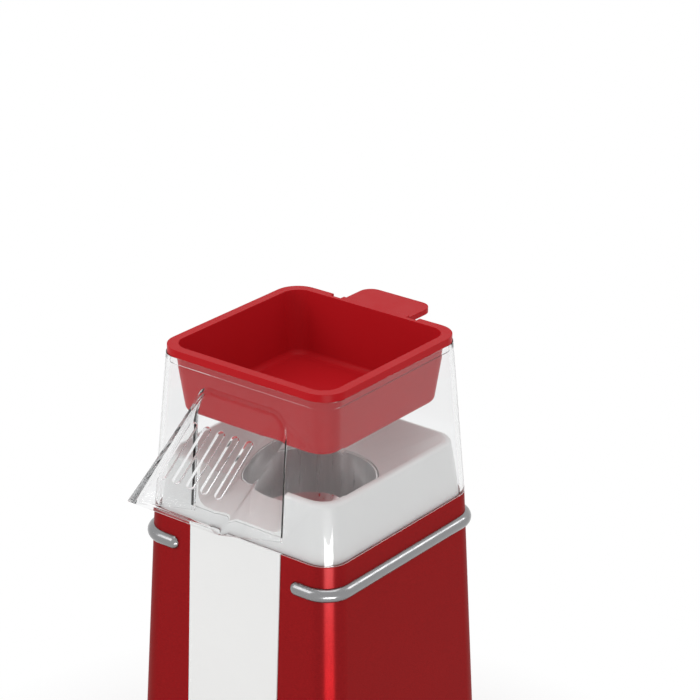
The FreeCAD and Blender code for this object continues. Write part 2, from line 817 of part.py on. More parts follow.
place(switch_hole, "-switch_half_x - part_gap", "-switch_depth", "-switch_half_z - part_gap")


def at_switch(name, shapes):
    """Stand shapes on the sloped back wall where the switch sits."""
    item = group(name, shapes)
    turn(item, (1, 0, 0), 1)
    bind(item, "Placement.Rotation.Angle", "atan(shell_slope)")
    return place(item, "0", "switch_y", "switch_z")


nodes["outer_shell"] = cut(
    "outer_shell", fuse("shell_body", shell_skin, shell_ring), strip_room,
    at_switch("switch_opening", [switch_hole]),
)
nodes["front_panel"] = prism("front_panel", [
    ("-shell_bottom_half", "shell_bottom_z"),
    ("-shell_top_half", "shell_top_z"),
    ("-shell_top_half + panel_thick", "shell_top_z"),
    ("-shell_bottom_half + panel_thick", "shell_bottom_z"),
], "panel_half")

# Silver half-round band with rounded ends on the front
band_sketch = doc.addObject("Sketcher::SketchObject", "band_path")
band_half = number("band_half")
band_corner = number("band_corner")
band_inner = band_half - band_corner
band_end = number("band_end")
axis_up = FreeCAD.Vector(0, 0, 1)
corner_list = [
    (FreeCAD.Vector(band_inner, -band_inner, 0), -90),
    (FreeCAD.Vector(band_inner, band_inner, 0), 0),
    (FreeCAD.Vector(-band_inner, band_inner, 0), 90),
    (FreeCAD.Vector(-band_inner, -band_inner, 0), 180),
]
stops = [
    (FreeCAD.Vector(band_end, -band_half, 0), FreeCAD.Vector(band_inner, -band_half, 0)),
    (FreeCAD.Vector(band_half, -band_inner, 0), FreeCAD.Vector(band_half, band_inner, 0)),
    (FreeCAD.Vector(band_inner, band_half, 0), FreeCAD.Vector(-band_inner, band_half, 0)),
    (FreeCAD.Vector(-band_half, band_inner, 0), FreeCAD.Vector(-band_half, -band_inner, 0)),
    (FreeCAD.Vector(-band_inner, -band_half, 0), FreeCAD.Vector(-band_end, -band_half, 0)),
]
for index, (start, end) in enumerate(stops):
    band_sketch.addGeometry(Part.LineSegment(start, end))
    if index < 4:
        middle, begin = corner_list[index]
        circle = Part.Circle(middle, axis_up, band_corner)
        arc = Part.ArcOfCircle(circle, math.radians(begin), math.radians(begin + 90))
        band_sketch.addGeometry(arc)
for index in range(8):
    band_sketch.addConstraint(Sketcher.Constraint("Tangent", index, 2, index + 1, 1))
for index in (0, 4, 8):
    band_sketch.addConstraint(Sketcher.Constraint("Horizontal", index))
for index in (2, 6):
    band_sketch.addConstraint(Sketcher.Constraint("Vertical", index))
for index in (3, 5, 7):
    band_sketch.addConstraint(Sketcher.Constraint("Equal", 1, index))
corner_mark = band_sketch.addConstraint(Sketcher.Constraint("Radius", 1, band_corner))
band_sketch.renameConstraint(corner_mark, "corner")
bind(band_sketch, "Constraints.corner", "band_corner")
pin(band_sketch, 0, 1, True, "band_end", "end_right")
pin(band_sketch, 0, 1, False, "-band_half", "front_right")
pin(band_sketch, 2, 1, True, "band_half", "right")
pin(band_sketch, 4, 1, False, "band_half", "back")
pin(band_sketch, 6, 1, True, "-band_half", "left")
pin(band_sketch, 8, 2, True, "-band_end", "end_left")
pin(band_sketch, 8, 2, False, "-band_half", "front_left")
bind(band_sketch, "Placement.Base.z", "band_z")
band_section = doc.addObject("Part::Circle", "band_section")
bind(band_section, "Radius", "band_radius")
turn(band_section, (0, 1, 0), 90)
place(band_section, "band_end", "-band_half", "band_z")
band_tube = doc.addObject("Part::Sweep", "band_tube")
band_tube.Sections = [band_section]
band_tube.Spine = (band_sketch, [])
band_tube.Solid = True
band_tips = []
for mark, sign in (("right", ""), ("left", "-")):
    tip = doc.addObject("Part::Sphere", "band_tip_" + mark)
    bind(tip, "Radius", "band_radius")
    place(tip, sign + "band_end", "-band_half", "band_z")
    band_tips.append(tip)
band_whole = fuse("band_whole", band_tube, *band_tips)
nodes["upper_trim_band"] = cut("upper_trim_band", band_whole, shell_solid)

# White funnel deck with a front ramp
deck_plug = frustum(
    "deck_plug_block", "deck_half", "deck_corner", "deck_bottom_z",
    "deck_half", "deck_corner", "shell_top_z",
)
deck_tower = frustum(
    "deck_tower", "deck_half", "deck_corner", "shell_top_z", "deck_top_half", "deck_corner", "deck_top_z"
)
deck_soft = rounded("deck_soft", deck_tower, "deck_edge_fillet", at_height("deck_top_z"))
deck_outer = fuse("deck_outer", deck_plug, deck_soft)
funnel = frustum(
    "funnel", "hole_radius", "hole_radius - funnel_flat", "hole_z",
    "funnel_half", "funnel_corner", "deck_top_z",
)
funnel_under = frustum(
    "funnel_under", "hole_radius + funnel_skin", "hole_radius + funnel_skin - funnel_flat",
    "hole_z - funnel_skin",
    "funnel_half + funnel_skin", "funnel_corner + funnel_skin", "deck_top_z",
)
deck_room = frustum(
    "deck_room", "deck_half - deck_wall", "deck_corner - deck_wall", "deck_bottom_z",
    "deck_top_half - deck_wall", "deck_corner - deck_wall", "deck_top_z - funnel_skin",
)
sleeve_keep = rod("sleeve_keep", "sleeve_radius", "sleeve_bottom_z", "hole_z")
ramp_low = "(shell_top_z + ramp_lip_rise)"
ramp_keep = block(
    "ramp_keep", "ramp_half + deck_wall", "-deck_half", "-hole_radius + sleeve_wall / 2",
    ramp_low + " - ramp_floor", "deck_top_z",
)
boss_keep = holes("boss_keep", deck_places, "boss_radius", "deck_bottom_z", "deck_bottom_z + boss_height")
deck_cavity = cut("deck_cavity", deck_room, funnel_under, sleeve_keep, ramp_keep, *boss_keep)
ramp_drop = "((hole_rise - ramp_lip_rise) / (deck_half - hole_radius))"
ramp_blank = prism("ramp_blank", [
    ("-deck_half - ramp_over", ramp_low + " - ramp_over * " + ramp_drop),
    ("-hole_radius", "hole_z"),
    ("-hole_radius / 2", "hole_z"),
    ("-hole_radius / 2", "deck_top_z + ramp_over"),
    ("-deck_half - ramp_over", "deck_top_z + ramp_over"),
], "ramp_half")
ramp_side = number("ramp_half")
ramp_channel = rounded(
    "ramp_channel", ramp_blank, "ramp_fillet",
    lambda edge: abs(abs(edge.BoundBox.Center.x) - ramp_side) < EDGE_MATCH
    and edge.BoundBox.XLength < EDGE_MATCH
    and edge.BoundBox.YLength > ramp_side / 2
    and edge.BoundBox.ZMax < number("hole_z") + EDGE_MATCH,
)
hole_bore = rod("hole_bore", "hole_radius", "deck_bottom_z - cut_over", "deck_top_z")
boss_taps = holes(
    "boss_tap", deck_places, "screw_radius + part_gap / 2",
    "deck_bottom_z - cut_over", "deck_bottom_z + screw_length + cut_over",
)
nodes["funnel_deck"] = cut(
    "funnel_deck", deck_outer, funnel, deck_cavity, ramp_channel, hole_bore, *boss_taps
)
nodes["deck_screws"] = group(
    "deck_screws",
    [
        screw("deck_screw_" + str(k), x, y, "deck_bottom_z - ledge_thick", True)
        for k, (x, y) in enumerate(deck_places)
    ],
)

# Clear spout wedge, open underneath
spout_back = "-(spout_wall_y - hood_wall)"
spout_back_z = "(shell_top_z + spout_rise + spout_slope * hood_wall)"
spout_tip_z = "(shell_top_z + spout_tip_rise)"
spout_low_z = "(shell_top_z + spout_sill)"
spout_low_y = "-(spout_sill_y - hood_wall)"
plate_fall = "(spout_wall * sqrt(1 + spout_slope * spout_slope))"


def spout_wedge(name, inside):
    """The outer or the inner wedge of the spout with rounded upper edges."""
    if inside:
        points = [
            (spout_back + " + spout_root", spout_back_z + " + spout_root * spout_slope - " + plate_fall),
            ("-spout_reach + spout_wall", spout_tip_z + " + spout_wall * spout_slope - " + plate_fall),
            ("-spout_reach + spout_wall", "shell_top_z"),
            (spout_back + " + spout_root", "shell_top_z"),
        ]
        half, radius = "spout_half - spout_wall", "spout_fillet - spout_wall"
    else:
        points = [
            (spout_back, spout_back_z),
            ("-spout_reach", spout_tip_z),
            ("-spout_reach", spout_tip_z + " - spout_nose"),
            (spout_low_y, spout_low_z),
        ]
        half, radius = "spout_half", "spout_fillet"
    wedge = prism(name + "_wedge", points, half)
    side = number(half)
    rise = number("spout_slope")

    def sloped(edge):
        box = edge.BoundBox
        on_side = box.XLength < EDGE_MATCH and abs(abs(box.Center.x) - side) < EDGE_MATCH
        return on_side and box.YLength > side / 2 and abs(box.ZLength / box.YLength - rise) < SLOPE_MATCH
    return rounded(name, wedge, radius, sloped)


spout_outer = spout_wedge("spout_outer", False)
spout_inner = spout_wedge("spout_inner", True)
slot_list = []
straight = "((slot_length - slot_width) / 2)"
slot_cut = "(spout_wall + spout_root)"
for index, slot_x in enumerate(in_row(SPOUT_SLOTS, "slot_pitch")):
    slot_name = "slot_" + str(index)
    middle = block(
        slot_name + "_mid", "slot_width / 2", "-" + straight, straight, "-" + slot_cut, slot_cut, slot_x
    )
    ends = []
    for mark, sign in (("low", "-"), ("high", "")):
        end_name = slot_name + "_" + mark
        ends.append(rod(end_name, "slot_width / 2", "-" + slot_cut, slot_cut, slot_x, sign + straight))
    slot_list.append(fuse(slot_name, middle, *ends))
slot_set = group("slot_set", slot_list)
turn(slot_set, (1, 0, 0), 1)
bind(slot_set, "Placement.Rotation.Angle", "atan(spout_slope)")
slot_z = "shell_top_z + spout_rise - (slot_reach - spout_wall_y) * spout_slope"
place(slot_set, "0", "-slot_reach", slot_z)
nodes["spout_cover"] = cut("spout_cover", spout_outer, spout_inner, slot_set)

# Clear hood with a thinner rim and an opening behind the spout
hood_solid = frustum(
    "hood_solid", "shell_top_half", "hood_bottom_corner", "shell_top_z",
    "hood_top_half", "hood_top_corner", "rim_z",
)
hood_hollow = frustum(
    "hood_hollow", "shell_top_half - hood_wall", "hood_bottom_corner - hood_wall", "shell_top_z",
    "hood_top_half - hood_wall", "hood_top_corner - hood_wall", "rim_z",
)
hood_step = frustum(
    "hood_step", "hood_top_half - hood_wall + hood_rim_step", "hood_top_corner - hood_wall + hood_rim_step",
    "rim_z - hood_rim_height",
    "hood_top_half - hood_wall + hood_rim_step", "hood_top_corner - hood_wall + hood_rim_step", "rim_z",
)
mouth_blank = prism("mouth_blank", [
    (spout_back + " + spout_root", spout_back_z + " + spout_root * spout_slope + part_gap"),
    ("-spout_reach", spout_tip_z + " + part_gap"),
    ("-spout_reach", spout_low_z + " - part_gap"),
    (spout_low_y + " + spout_root", spout_low_z + " - part_gap"),
], "spout_half + part_gap / 2")
mouth_side = number("spout_half + part_gap / 2")
mouth = rounded(
    "mouth", mouth_blank, "spout_fillet",
    lambda edge: abs(abs(edge.BoundBox.Center.x) - mouth_side) < EDGE_MATCH
    and edge.BoundBox.XLength < EDGE_MATCH
    and edge.BoundBox.YLength > mouth_side / 2
    and edge.BoundBox.ZLength > mouth_side / 2,
)
nodes["clear_hood"] = cut("clear_hood", hood_solid, hood_hollow, hood_step, mouth)

# Red measuring scoop that rests on the hood as its lid
scoop_outer = frustum(
    "scoop_outer", "scoop_bottom_half", "scoop_corner", "rim_z - scoop_depth",
    "scoop_top_half", "scoop_corner", "rim_z + scoop_rim",
)
scoop_soft = rounded("scoop_soft", scoop_outer, "scoop_floor_fillet", at_height("rim_z - scoop_depth"))
scoop_flange = frustum(
    "scoop_flange", "scoop_flange_half", "scoop_flange_corner", "rim_z",
    "scoop_flange_half", "scoop_flange_corner", "rim_z + scoop_rim",
)
handle_blank = block(
    "handle_blank", "handle_half", "scoop_top_half - scoop_wall / 2", "scoop_flange_half + handle_length",
    "rim_z", "rim_z + handle_thick",
)
handle_tip = number("scoop_flange_half + handle_length")
scoop_handle = rounded(
    "scoop_handle", handle_blank, "handle_corner",
    lambda edge: edge.BoundBox.ZLength > EDGE_MATCH and abs(edge.BoundBox.YMax - handle_tip) < EDGE_MATCH,
)
scoop_hollow = frustum(
    "scoop_hollow", "scoop_bottom_half - scoop_wall", "scoop_corner - scoop_wall",
    "rim_z - scoop_depth + scoop_wall",
    "scoop_top_half - scoop_wall", "scoop_corner - scoop_wall", "rim_z + scoop_rim",
)
scoop_dish = rounded(
    "scoop_dish", scoop_hollow, "scoop_floor_fillet", at_height("rim_z - scoop_depth + scoop_wall")
)
rim_gaps = []
for mark, sign in (("right", ""), ("left", "-")):
    gap_x = sign + "(handle_half + rim_gap / 2)"
    rim_gaps.append(block(
        "rim_gap_" + mark, "rim_gap / 2", "scoop_top_half + part_gap", "scoop_flange_half + cut_over",
        "rim_z - cut_over", "rim_z + scoop_rim + cut_over", gap_x,
    ))
scoop_cup = fuse("scoop_cup", scoop_soft, scoop_flange)
scoop_open = cut("scoop_open", scoop_cup, *rim_gaps)
nodes["measuring_scoop"] = cut("measuring_scoop", fuse("scoop_whole", scoop_open, scoop_handle), scoop_dish)

# Rocker switch in the back wall
flange_box = block(
    "switch_flange_box", "switch_half_x + switch_flange", "0", "switch_flange_thick",
    "-switch_half_z - switch_flange", "switch_half_z + switch_flange",
)
switch_box = block(
    "switch_box", "switch_half_x", "-switch_depth", "switch_flange_thick / 2",
    "-switch_half_z", "switch_half_z",
)
switch_room = block(
    "switch_room", "switch_half_x - switch_wall",
    "-switch_depth + switch_wall", "switch_flange_thick + cut_over",
    "-switch_half_z + switch_wall", "switch_half_z - switch_wall",
)
pivot_hole = turn(doc.addObject("Part::Cylinder", "pivot_hole"), (0, 1, 0), 90)
bind(pivot_hole, "Radius", "pivot_radius + pivot_gap")
bind(pivot_hole, "Height", "2 * (switch_half_x - switch_wall + pivot_reach + pivot_gap)")
place(pivot_hole, "-(switch_half_x - switch_wall + pivot_reach + pivot_gap)", "-switch_flange_thick", "0")
frame_solid = cut("frame_solid", fuse("frame_blank", flange_box, switch_box), switch_room, pivot_hole)
nodes["switch_frame"] = at_switch("switch_frame", [frame_solid])
rocker_half = "(switch_half_z - switch_wall - rocker_end_gap)"
rocker_body = prism("rocker_body", [
    ("switch_flange_thick + rocker_rise", rocker_half),
    ("switch_flange_thick + rocker_rise - rocker_dip", "0"),
    ("switch_flange_thick + rocker_rise", "-" + rocker_half),
    ("-rocker_depth", "-" + rocker_half),
    ("-rocker_depth - switch_flange_thick", "0"),
    ("-rocker_depth", rocker_half),
], "switch_half_x - switch_wall - rocker_gap")
pivot_pin = turn(doc.addObject("Part::Cylinder", "pivot_pin"), (0, 1, 0), 90)
bind(pivot_pin, "Radius", "pivot_radius")
bind(pivot_pin, "Height", "2 * (switch_half_x - switch_wall + pivot_reach)")
place(pivot_pin, "-(switch_half_x - switch_wall + pivot_reach)", "0", "0")
rocker_set = fuse("rocker_set", rocker_body, pivot_pin)
rocker_tilted = group("rocker_tilted", [rocker_set])
turn(rocker_tilted, (1, 0, 0), 1)
bind(rocker_tilted, "Placement.Rotation.Angle", "rocker_tilt")
place(rocker_tilted, "0", "-switch_flange_thick", "0")
nodes["switch_rocker"] = at_switch("switch_rocker", [rocker_tilted])

# Cord gland in the back of the tray
gland_parts = []
for mark, radius, low, high in (
    ("neck", "gland_radius", "lip_inner", "base_half"),
    ("flange", "gland_flange", "base_half", "base_half + gland_flange_thick"),
):
    piece = turn(doc.addObject("Part::Cylinder", "gland_" + mark), (1, 0, 0), -90)
    bind(piece, "Radius", radius)
    bind(piece, "Height", "(" + high + ") - (" + low + ")")
    place(piece, "0", low, "gland_z")
    gland_parts.append(piece)
gland_hole = turn(doc.addObject("Part::Cylinder", "gland_hole"), (1, 0, 0), -90)
bind(gland_hole, "Radius", "gland_bore")
bind(gland_hole, "Height", "base_half - lip_inner + gland_flange_thick + 2 * cut_over")
place(gland_hole, "0", "lip_inner - cut_over", "gland_z")
nodes["cord_gland"] = cut("cord_gland", fuse("gland_body", *gland_parts), gland_hole)

# Terminal block on the tray floor
terminal_body = block(
    "terminal_body", "terminal_length / 2", "terminal_y - terminal_width / 2",
    "terminal_y + terminal_width / 2", "floor_top_z", "floor_top_z + terminal_height",
)
terminal_wells = []
well_top = "floor_top_z + terminal_height"
for index, well_x in enumerate(in_row(TERMINALS, "terminal_pitch")):
    terminal_wells.append(rod(
        "terminal_well_" + str(index), "terminal_well_radius",
        well_top + " - terminal_well_depth", well_top + " + cut_over", well_x, "terminal_y",
    ))
nodes["terminal_block"] = cut("terminal_block", terminal_body, *terminal_wells)

# Move the tower so that the middle of the whole footprint is the origin
placed = {}
for label, item in nodes.items():
    item.Label = label + "_shape"
    seat = group(label + "_node", [item])
    seat.Label = label
    placed[label] = place(seat, "0", "axis_y", "0")

# Check and write every sub-part
doc.recompute()
for item in doc.Objects:
    if "Invalid" in item.State or "Error" in item.State:
        raise RuntimeError(item.Name + " did not recompute: " + str(item.State))
os.makedirs("parts", exist_ok=True)
for label, item in placed.items():
    shape = item.Shape
    if shape.isNull() or not shape.isValid() or not shape.Solids:
        raise RuntimeError(label + " has no valid solid")
    shape.exportStep("parts/" + label + ".step")
    print(label, len(shape.Solids), round(shape.Volume, 1))
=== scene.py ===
"""Looks of a hot-air popcorn maker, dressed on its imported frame.

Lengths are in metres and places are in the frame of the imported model.
"""

import json
import logging
import math
from dataclasses import dataclass, replace
from enum import Enum
from typing import Callable, Iterable

import bmesh
import bpy
from mathutils import Euler, Matrix, Vector

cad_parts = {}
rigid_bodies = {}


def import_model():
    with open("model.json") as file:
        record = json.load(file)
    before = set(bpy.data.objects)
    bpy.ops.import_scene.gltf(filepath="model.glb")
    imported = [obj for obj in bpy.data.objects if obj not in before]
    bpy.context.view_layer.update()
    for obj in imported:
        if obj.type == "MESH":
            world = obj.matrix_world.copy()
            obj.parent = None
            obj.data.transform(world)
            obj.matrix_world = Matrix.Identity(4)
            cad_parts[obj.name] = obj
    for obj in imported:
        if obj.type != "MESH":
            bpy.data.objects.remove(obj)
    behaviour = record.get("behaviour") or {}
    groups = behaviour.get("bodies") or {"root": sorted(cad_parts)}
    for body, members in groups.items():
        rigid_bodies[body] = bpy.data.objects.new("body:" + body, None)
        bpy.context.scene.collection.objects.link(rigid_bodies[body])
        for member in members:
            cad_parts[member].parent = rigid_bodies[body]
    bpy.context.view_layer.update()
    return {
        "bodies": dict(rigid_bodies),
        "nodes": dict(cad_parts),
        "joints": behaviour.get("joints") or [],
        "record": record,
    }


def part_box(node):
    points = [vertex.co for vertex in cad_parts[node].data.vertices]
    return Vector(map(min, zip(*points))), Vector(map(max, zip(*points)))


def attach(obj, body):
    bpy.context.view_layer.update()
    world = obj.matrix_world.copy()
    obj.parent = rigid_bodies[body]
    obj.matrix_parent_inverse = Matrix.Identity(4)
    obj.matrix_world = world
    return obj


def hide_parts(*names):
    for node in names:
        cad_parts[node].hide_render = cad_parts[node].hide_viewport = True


LOG = logging.getLogger("popcorn_maker")

Point = tuple[float, float]
Triple = tuple[float, float, float]
Socket = bpy.types.NodeSocket
Piece = bpy.types.Object
BMesh = bmesh.types.BMesh
BMEdge = bmesh.types.BMEdge
BMFace = bmesh.types.BMFace
BMVert = bmesh.types.BMVert

# Steps round a corner, round the band and round a large hole
CORNER_STEPS = 10
BAND_STEPS = 28
HOLE_STEPS = 96

# The gap between fitted pieces, and how far a cutting tool stands past a surface
CLEAR = 0.0002
OVER = 0.004

# How near two places, or two slopes, must be to count as the same
NEAR = 1e-6
SLOPE_MATCH = 0.02

# An edge is rounded above the first angle, shaded sharp above the second and merged below the third
ROUND_ANGLE = math.radians(32)
SHARP_ANGLE = math.radians(30)
FLAT_ANGLE = math.radians(0.2)

# The range in which most values of a noise pattern lie, and a pattern that is stretched along no axis
NOISE_LOW = 0.3
NOISE_HIGH = 0.7
EVEN: Triple = (1.0, 1.0, 1.0)


class Body(Enum):
    """The bodies of the frame that carry new pieces."""

    HOUSING = "housing"
    HOOD = "hood"
    SCOOP = "scoop"
    ROCKER = "rocker"


class Slot(Enum):
    """The material slots of the record."""

    WHITE_PLASTIC = "white_plastic"
    BLACK_RUBBER = "black_rubber"
    SCREW_STEEL = "screw_steel"
    PLAIN_ALUMINIUM = "plain_aluminium"
    PLATE_STEEL = "plate_steel"
    CHAMBER_ALUMINIUM = "chamber_aluminium"
    SEAL_RUBBER = "seal_rubber"
    MICA = "mica"
    HEATER_WIRE = "heater_wire"
    DARK_PLASTIC = "dark_plastic"
    BOARD = "board"
    RED_SHELL = "red_shell"
    SATIN_BAND = "satin_band"
    CLEAR_PLASTIC = "clear_plastic"
    RED_SCOOP = "red_scoop"


# Shader building


def combine_values(tree: bpy.types.NodeTree, operation: str, first: Socket, second: Socket) -> Socket:
    """Combine two values by a Math node.

    Args:
        tree: The nodes of a material or of the world.
        operation: The Math node's operation.
        first: The first value.
        second: The second value.

    Returns:
        The result.
    """
    worked = tree.nodes.new("ShaderNodeMath")
    worked.operation = operation
    tree.links.new(first, worked.inputs[0])
    tree.links.new(second, worked.inputs[1])
    return worked.outputs["Value"]


def seen_directly(tree: bpy.types.NodeTree) -> Socket:
    """Tell rays that show a surface from rays that gather light.

    Args:
        tree: The nodes of a material or of the world.

    Returns:
        1 for a ray from the camera, a reflection or a clear piece, and 0 for the others.
    """
    path = tree.nodes.new("ShaderNodeLightPath")
    seen = path.outputs["Is Camera Ray"]
    for kind in ("Is Glossy Ray", "Is Transmission Ray"):
        seen = combine_values(tree, "MAXIMUM", seen, path.outputs[kind])
    return seen


class ShaderSheet:
    """A material in the making, with its principled shader and object coordinates."""

    def __init__(self, name: str) -> None:
        """Start a new material.

        Args:
            name: The name of the material.
        """
        self.material = bpy.data.materials.new(name)
        self.material.use_nodes = True
        self.tree = self.material.node_tree
        self.nodes = self.tree.nodes
        self.links = self.tree.links
        self.shader = self.nodes["Principled BSDF"]
        self.output = self.nodes["Material Output"]
        self.coordinates = self.nodes.new("ShaderNodeTexCoord")

    def fix(self, **values: float | tuple[float, ...]) -> None:
        """Set constant values on the shader's sockets.

        Args:
            values: Socket names in lower case with underscores, and their values.
        """
        for name, value in values.items():
            socket = next(s for s in self.shader.inputs if s.name.lower().replace(" ", "_") == name)
            socket.default_value = value

    def noise(self, scale: float, stretch: Triple = EVEN, detail: float = 3.0) -> Socket:
        """A noise pattern fixed to the object.

        Args:
            scale: How many features fit in a metre.
            stretch: The scale along each axis before the noise.
            detail: The number of finer layers.

        Returns:
            The noise value.
        """
        mapping = self.nodes.new("ShaderNodeMapping")
        mapping.inputs["Scale"].default_value = stretch
        pattern = self.nodes.new("ShaderNodeTexNoise")
        pattern.inputs["Scale"].default_value = scale
        pattern.inputs["Detail"].default_value = detail
        self.links.new(self.coordinates.outputs["Object"], mapping.inputs["Vector"])
        self.links.new(mapping.outputs["Vector"], pattern.inputs["Vector"])
        return pattern.outputs["Fac"]

    def spread(self, factor: Socket, low: float, high: float) -> Socket:
        """Map the middle of a noise pattern to a range of values.

        Args:
            factor: The noise value.
            low: The value at the dark end.
            high: The value at the bright end.

        Returns:
            The mapped value.
        """
        mapped = self.nodes.new("ShaderNodeMapRange")
        mapped.inputs["From Min"].default_value = NOISE_LOW
        mapped.inputs["From Max"].default_value = NOISE_HIGH
        mapped.inputs["To Min"].default_value = low
        mapped.inputs["To Max"].default_value = high
        self.links.new(factor, mapped.inputs["Value"])
        return mapped.outputs["Result"]

    def blend(self, factor: Socket, first: Triple, second: Triple) -> Socket:
        """Blend two colours by a pattern.

        Args:
            factor: The pattern, from 0 to 1.
            first: The colour at 0.
            second: The colour at 1.

        Returns:
            The blended colour.
        """
        mixed = self.nodes.new("ShaderNodeMix")
        mixed.data_type = "RGBA"
        self.links.new(factor, mixed.inputs["Factor"])
        colours = [s for s in mixed.inputs if s.type == "RGBA"]
        colours[0].default_value = (*first, 1.0)
        colours[1].default_value = (*second, 1.0)
        return next(s for s in mixed.outputs if s.type == "RGBA")

    def drive(self, name: str, value: Socket) -> None:
        """Let a pattern drive one of the shader's sockets."""
        self.links.new(value, self.shader.inputs[name])

    def colour(self, pattern: Socket, first: Triple, second: Triple) -> None:
        """Let a noise pattern vary the base colour between two colours."""
        self.drive("Base Color", self.blend(self.spread(pattern, 0.0, 1.0), first, second))

    def roughen(self, pattern: Socket, low: float, high: float) -> None:
        """Let a noise pattern vary the roughness between two values."""
        self.drive("Roughness", self.spread(pattern, low, high))

    def brush_round(self) -> None:
        """Let the brush marks run round the upright axis."""
        tangent = self.nodes.new("ShaderNodeTangent")
        tangent.direction_type = "RADIAL"
        tangent.axis = "Z"
        self.drive("Tangent", tangent.outputs["Tangent"])

    def bump(self, height: Socket, strength: float, distance: float) -> None:
        """Add surface relief.

        Args:
            height: The relief pattern.
            strength: How much of it shows.
            distance: The height of the relief.
        """
        relief = self.nodes.new("ShaderNodeBump")
        relief.inputs["Strength"].default_value = strength
        relief.inputs["Distance"].default_value = distance
        self.links.new(height, relief.inputs["Height"])
        self.drive("Normal", relief.outputs["Normal"])

    def show_instead(self, factor: Socket, other: Socket) -> None:
        """Show another shader in place of the principled one.

        Args:
            factor: Where it shows, from 0 to 1.
            other: The other shader.
        """
        mixed = self.nodes.new("ShaderNodeMixShader")
        self.links.new(factor, mixed.inputs["Fac"])
        self.links.new(self.shader.outputs["BSDF"], mixed.inputs[1])
        self.links.new(other, mixed.inputs[2])
        self.links.new(mixed.outputs["Shader"], self.output.inputs["Surface"])


@dataclass(frozen=True)
class Finish:
    """A finish, from which a material is made."""

    def material(self, name: str) -> bpy.types.Material:
        """Build the material.

        Args:
            name: The name of the material.

        Returns:
            The material.
        """
        sheet = ShaderSheet(name)
        self.dress(sheet)
        return sheet.material

    def dress(self, sheet: ShaderSheet) -> None:
        """Set up the nodes of a new material, which each finish does in its own way."""
        raise NotImplementedError


@dataclass(frozen=True)
class Moulded(Finish):
    """Moulded plastic, rubber or another plain opaque material."""

    base: Triple
    shade: Triple
    roughness: float
    sheen_spread: float = 0.06
    specular: float = 0.5
    cloud: float = 18.0
    smudge: float = 60.0
    smudge_detail: float = 5.0
    grain: float = 900.0
    relief: float = 0.00004
    relief_strength: float = 0.2

    def dress(self, sheet: ShaderSheet) -> None:
        """Set up the nodes of a moulded material.

        Args:
            sheet: The new material.
        """
        sheet.colour(sheet.noise(self.cloud), self.base, self.shade)
        smudge = sheet.noise(self.smudge, detail=self.smudge_detail)
        sheet.roughen(smudge, self.roughness - self.sheen_spread, self.roughness + self.sheen_spread)
        sheet.bump(sheet.noise(self.grain), self.relief_strength, self.relief)
        sheet.fix(specular_ior_level=self.specular)


@dataclass(frozen=True)
class Lacquer(Finish):
    """Metallic lacquer with fine flakes under a clear coat."""

    base: Triple
    flake: Triple
    edge_colour: Triple
    metallic: float
    roughness: float
    brushing: float
    brush_turn: float = 0.25
    specular: float = 0.1
    coat: float = 0.15
    coat_roughness: float = 0.22
    flake_scale: float = 4200.0
    flake_stretch: Triple = (0.2, 0.2, 1.0)
    flake_detail: float = 1.0
    haze: float = 40.0
    haze_detail: float = 4.0
    smoother: float = 0.04
    rougher: float = 0.05
    relief: float = 0.00002
    relief_strength: float = 0.05

    def dress(self, sheet: ShaderSheet) -> None:
        """Set up the nodes of the lacquer.

        Args:
            sheet: The new material.
        """
        flakes = sheet.noise(self.flake_scale, self.flake_stretch, self.flake_detail)
        sheet.colour(flakes, self.base, self.flake)
        haze = sheet.noise(self.haze, detail=self.haze_detail)
        sheet.roughen(haze, self.roughness - self.smoother, self.roughness + self.rougher)
        sheet.bump(flakes, self.relief_strength, self.relief)
        sheet.fix(metallic=self.metallic, specular_ior_level=self.specular)
        sheet.fix(specular_tint=(*self.edge_colour, 1.0))
        sheet.fix(coat_weight=self.coat, coat_roughness=self.coat_roughness)
        sheet.fix(anisotropic=self.brushing, anisotropic_rotation=self.brush_turn)
        sheet.brush_round()


@dataclass(frozen=True)
class Metal(Finish):
    """Bare metal with a brushed or drawn grain."""

    base: Triple
    shade: Triple
    roughness: float
    stretch: Triple = (1.0, 1.0, 12.0)
    grain: float = 260.0
    grain_detail: float = 4.0
    smoother: float = 0.07
    rougher: float = 0.09
    relief: float = 0.00003
    relief_strength: float = 0.12

    def dress(self, sheet: ShaderSheet) -> None:
        """Set up the nodes of a bare metal.

        Args:
            sheet: The new material.
        """
        brush = sheet.noise(self.grain, self.stretch, self.grain_detail)
        sheet.colour(brush, self.base, self.shade)
        sheet.roughen(brush, self.roughness - self.smoother, self.roughness + self.rougher)
        sheet.bump(brush, self.relief_strength, self.relief)
        sheet.fix(metallic=1.0)


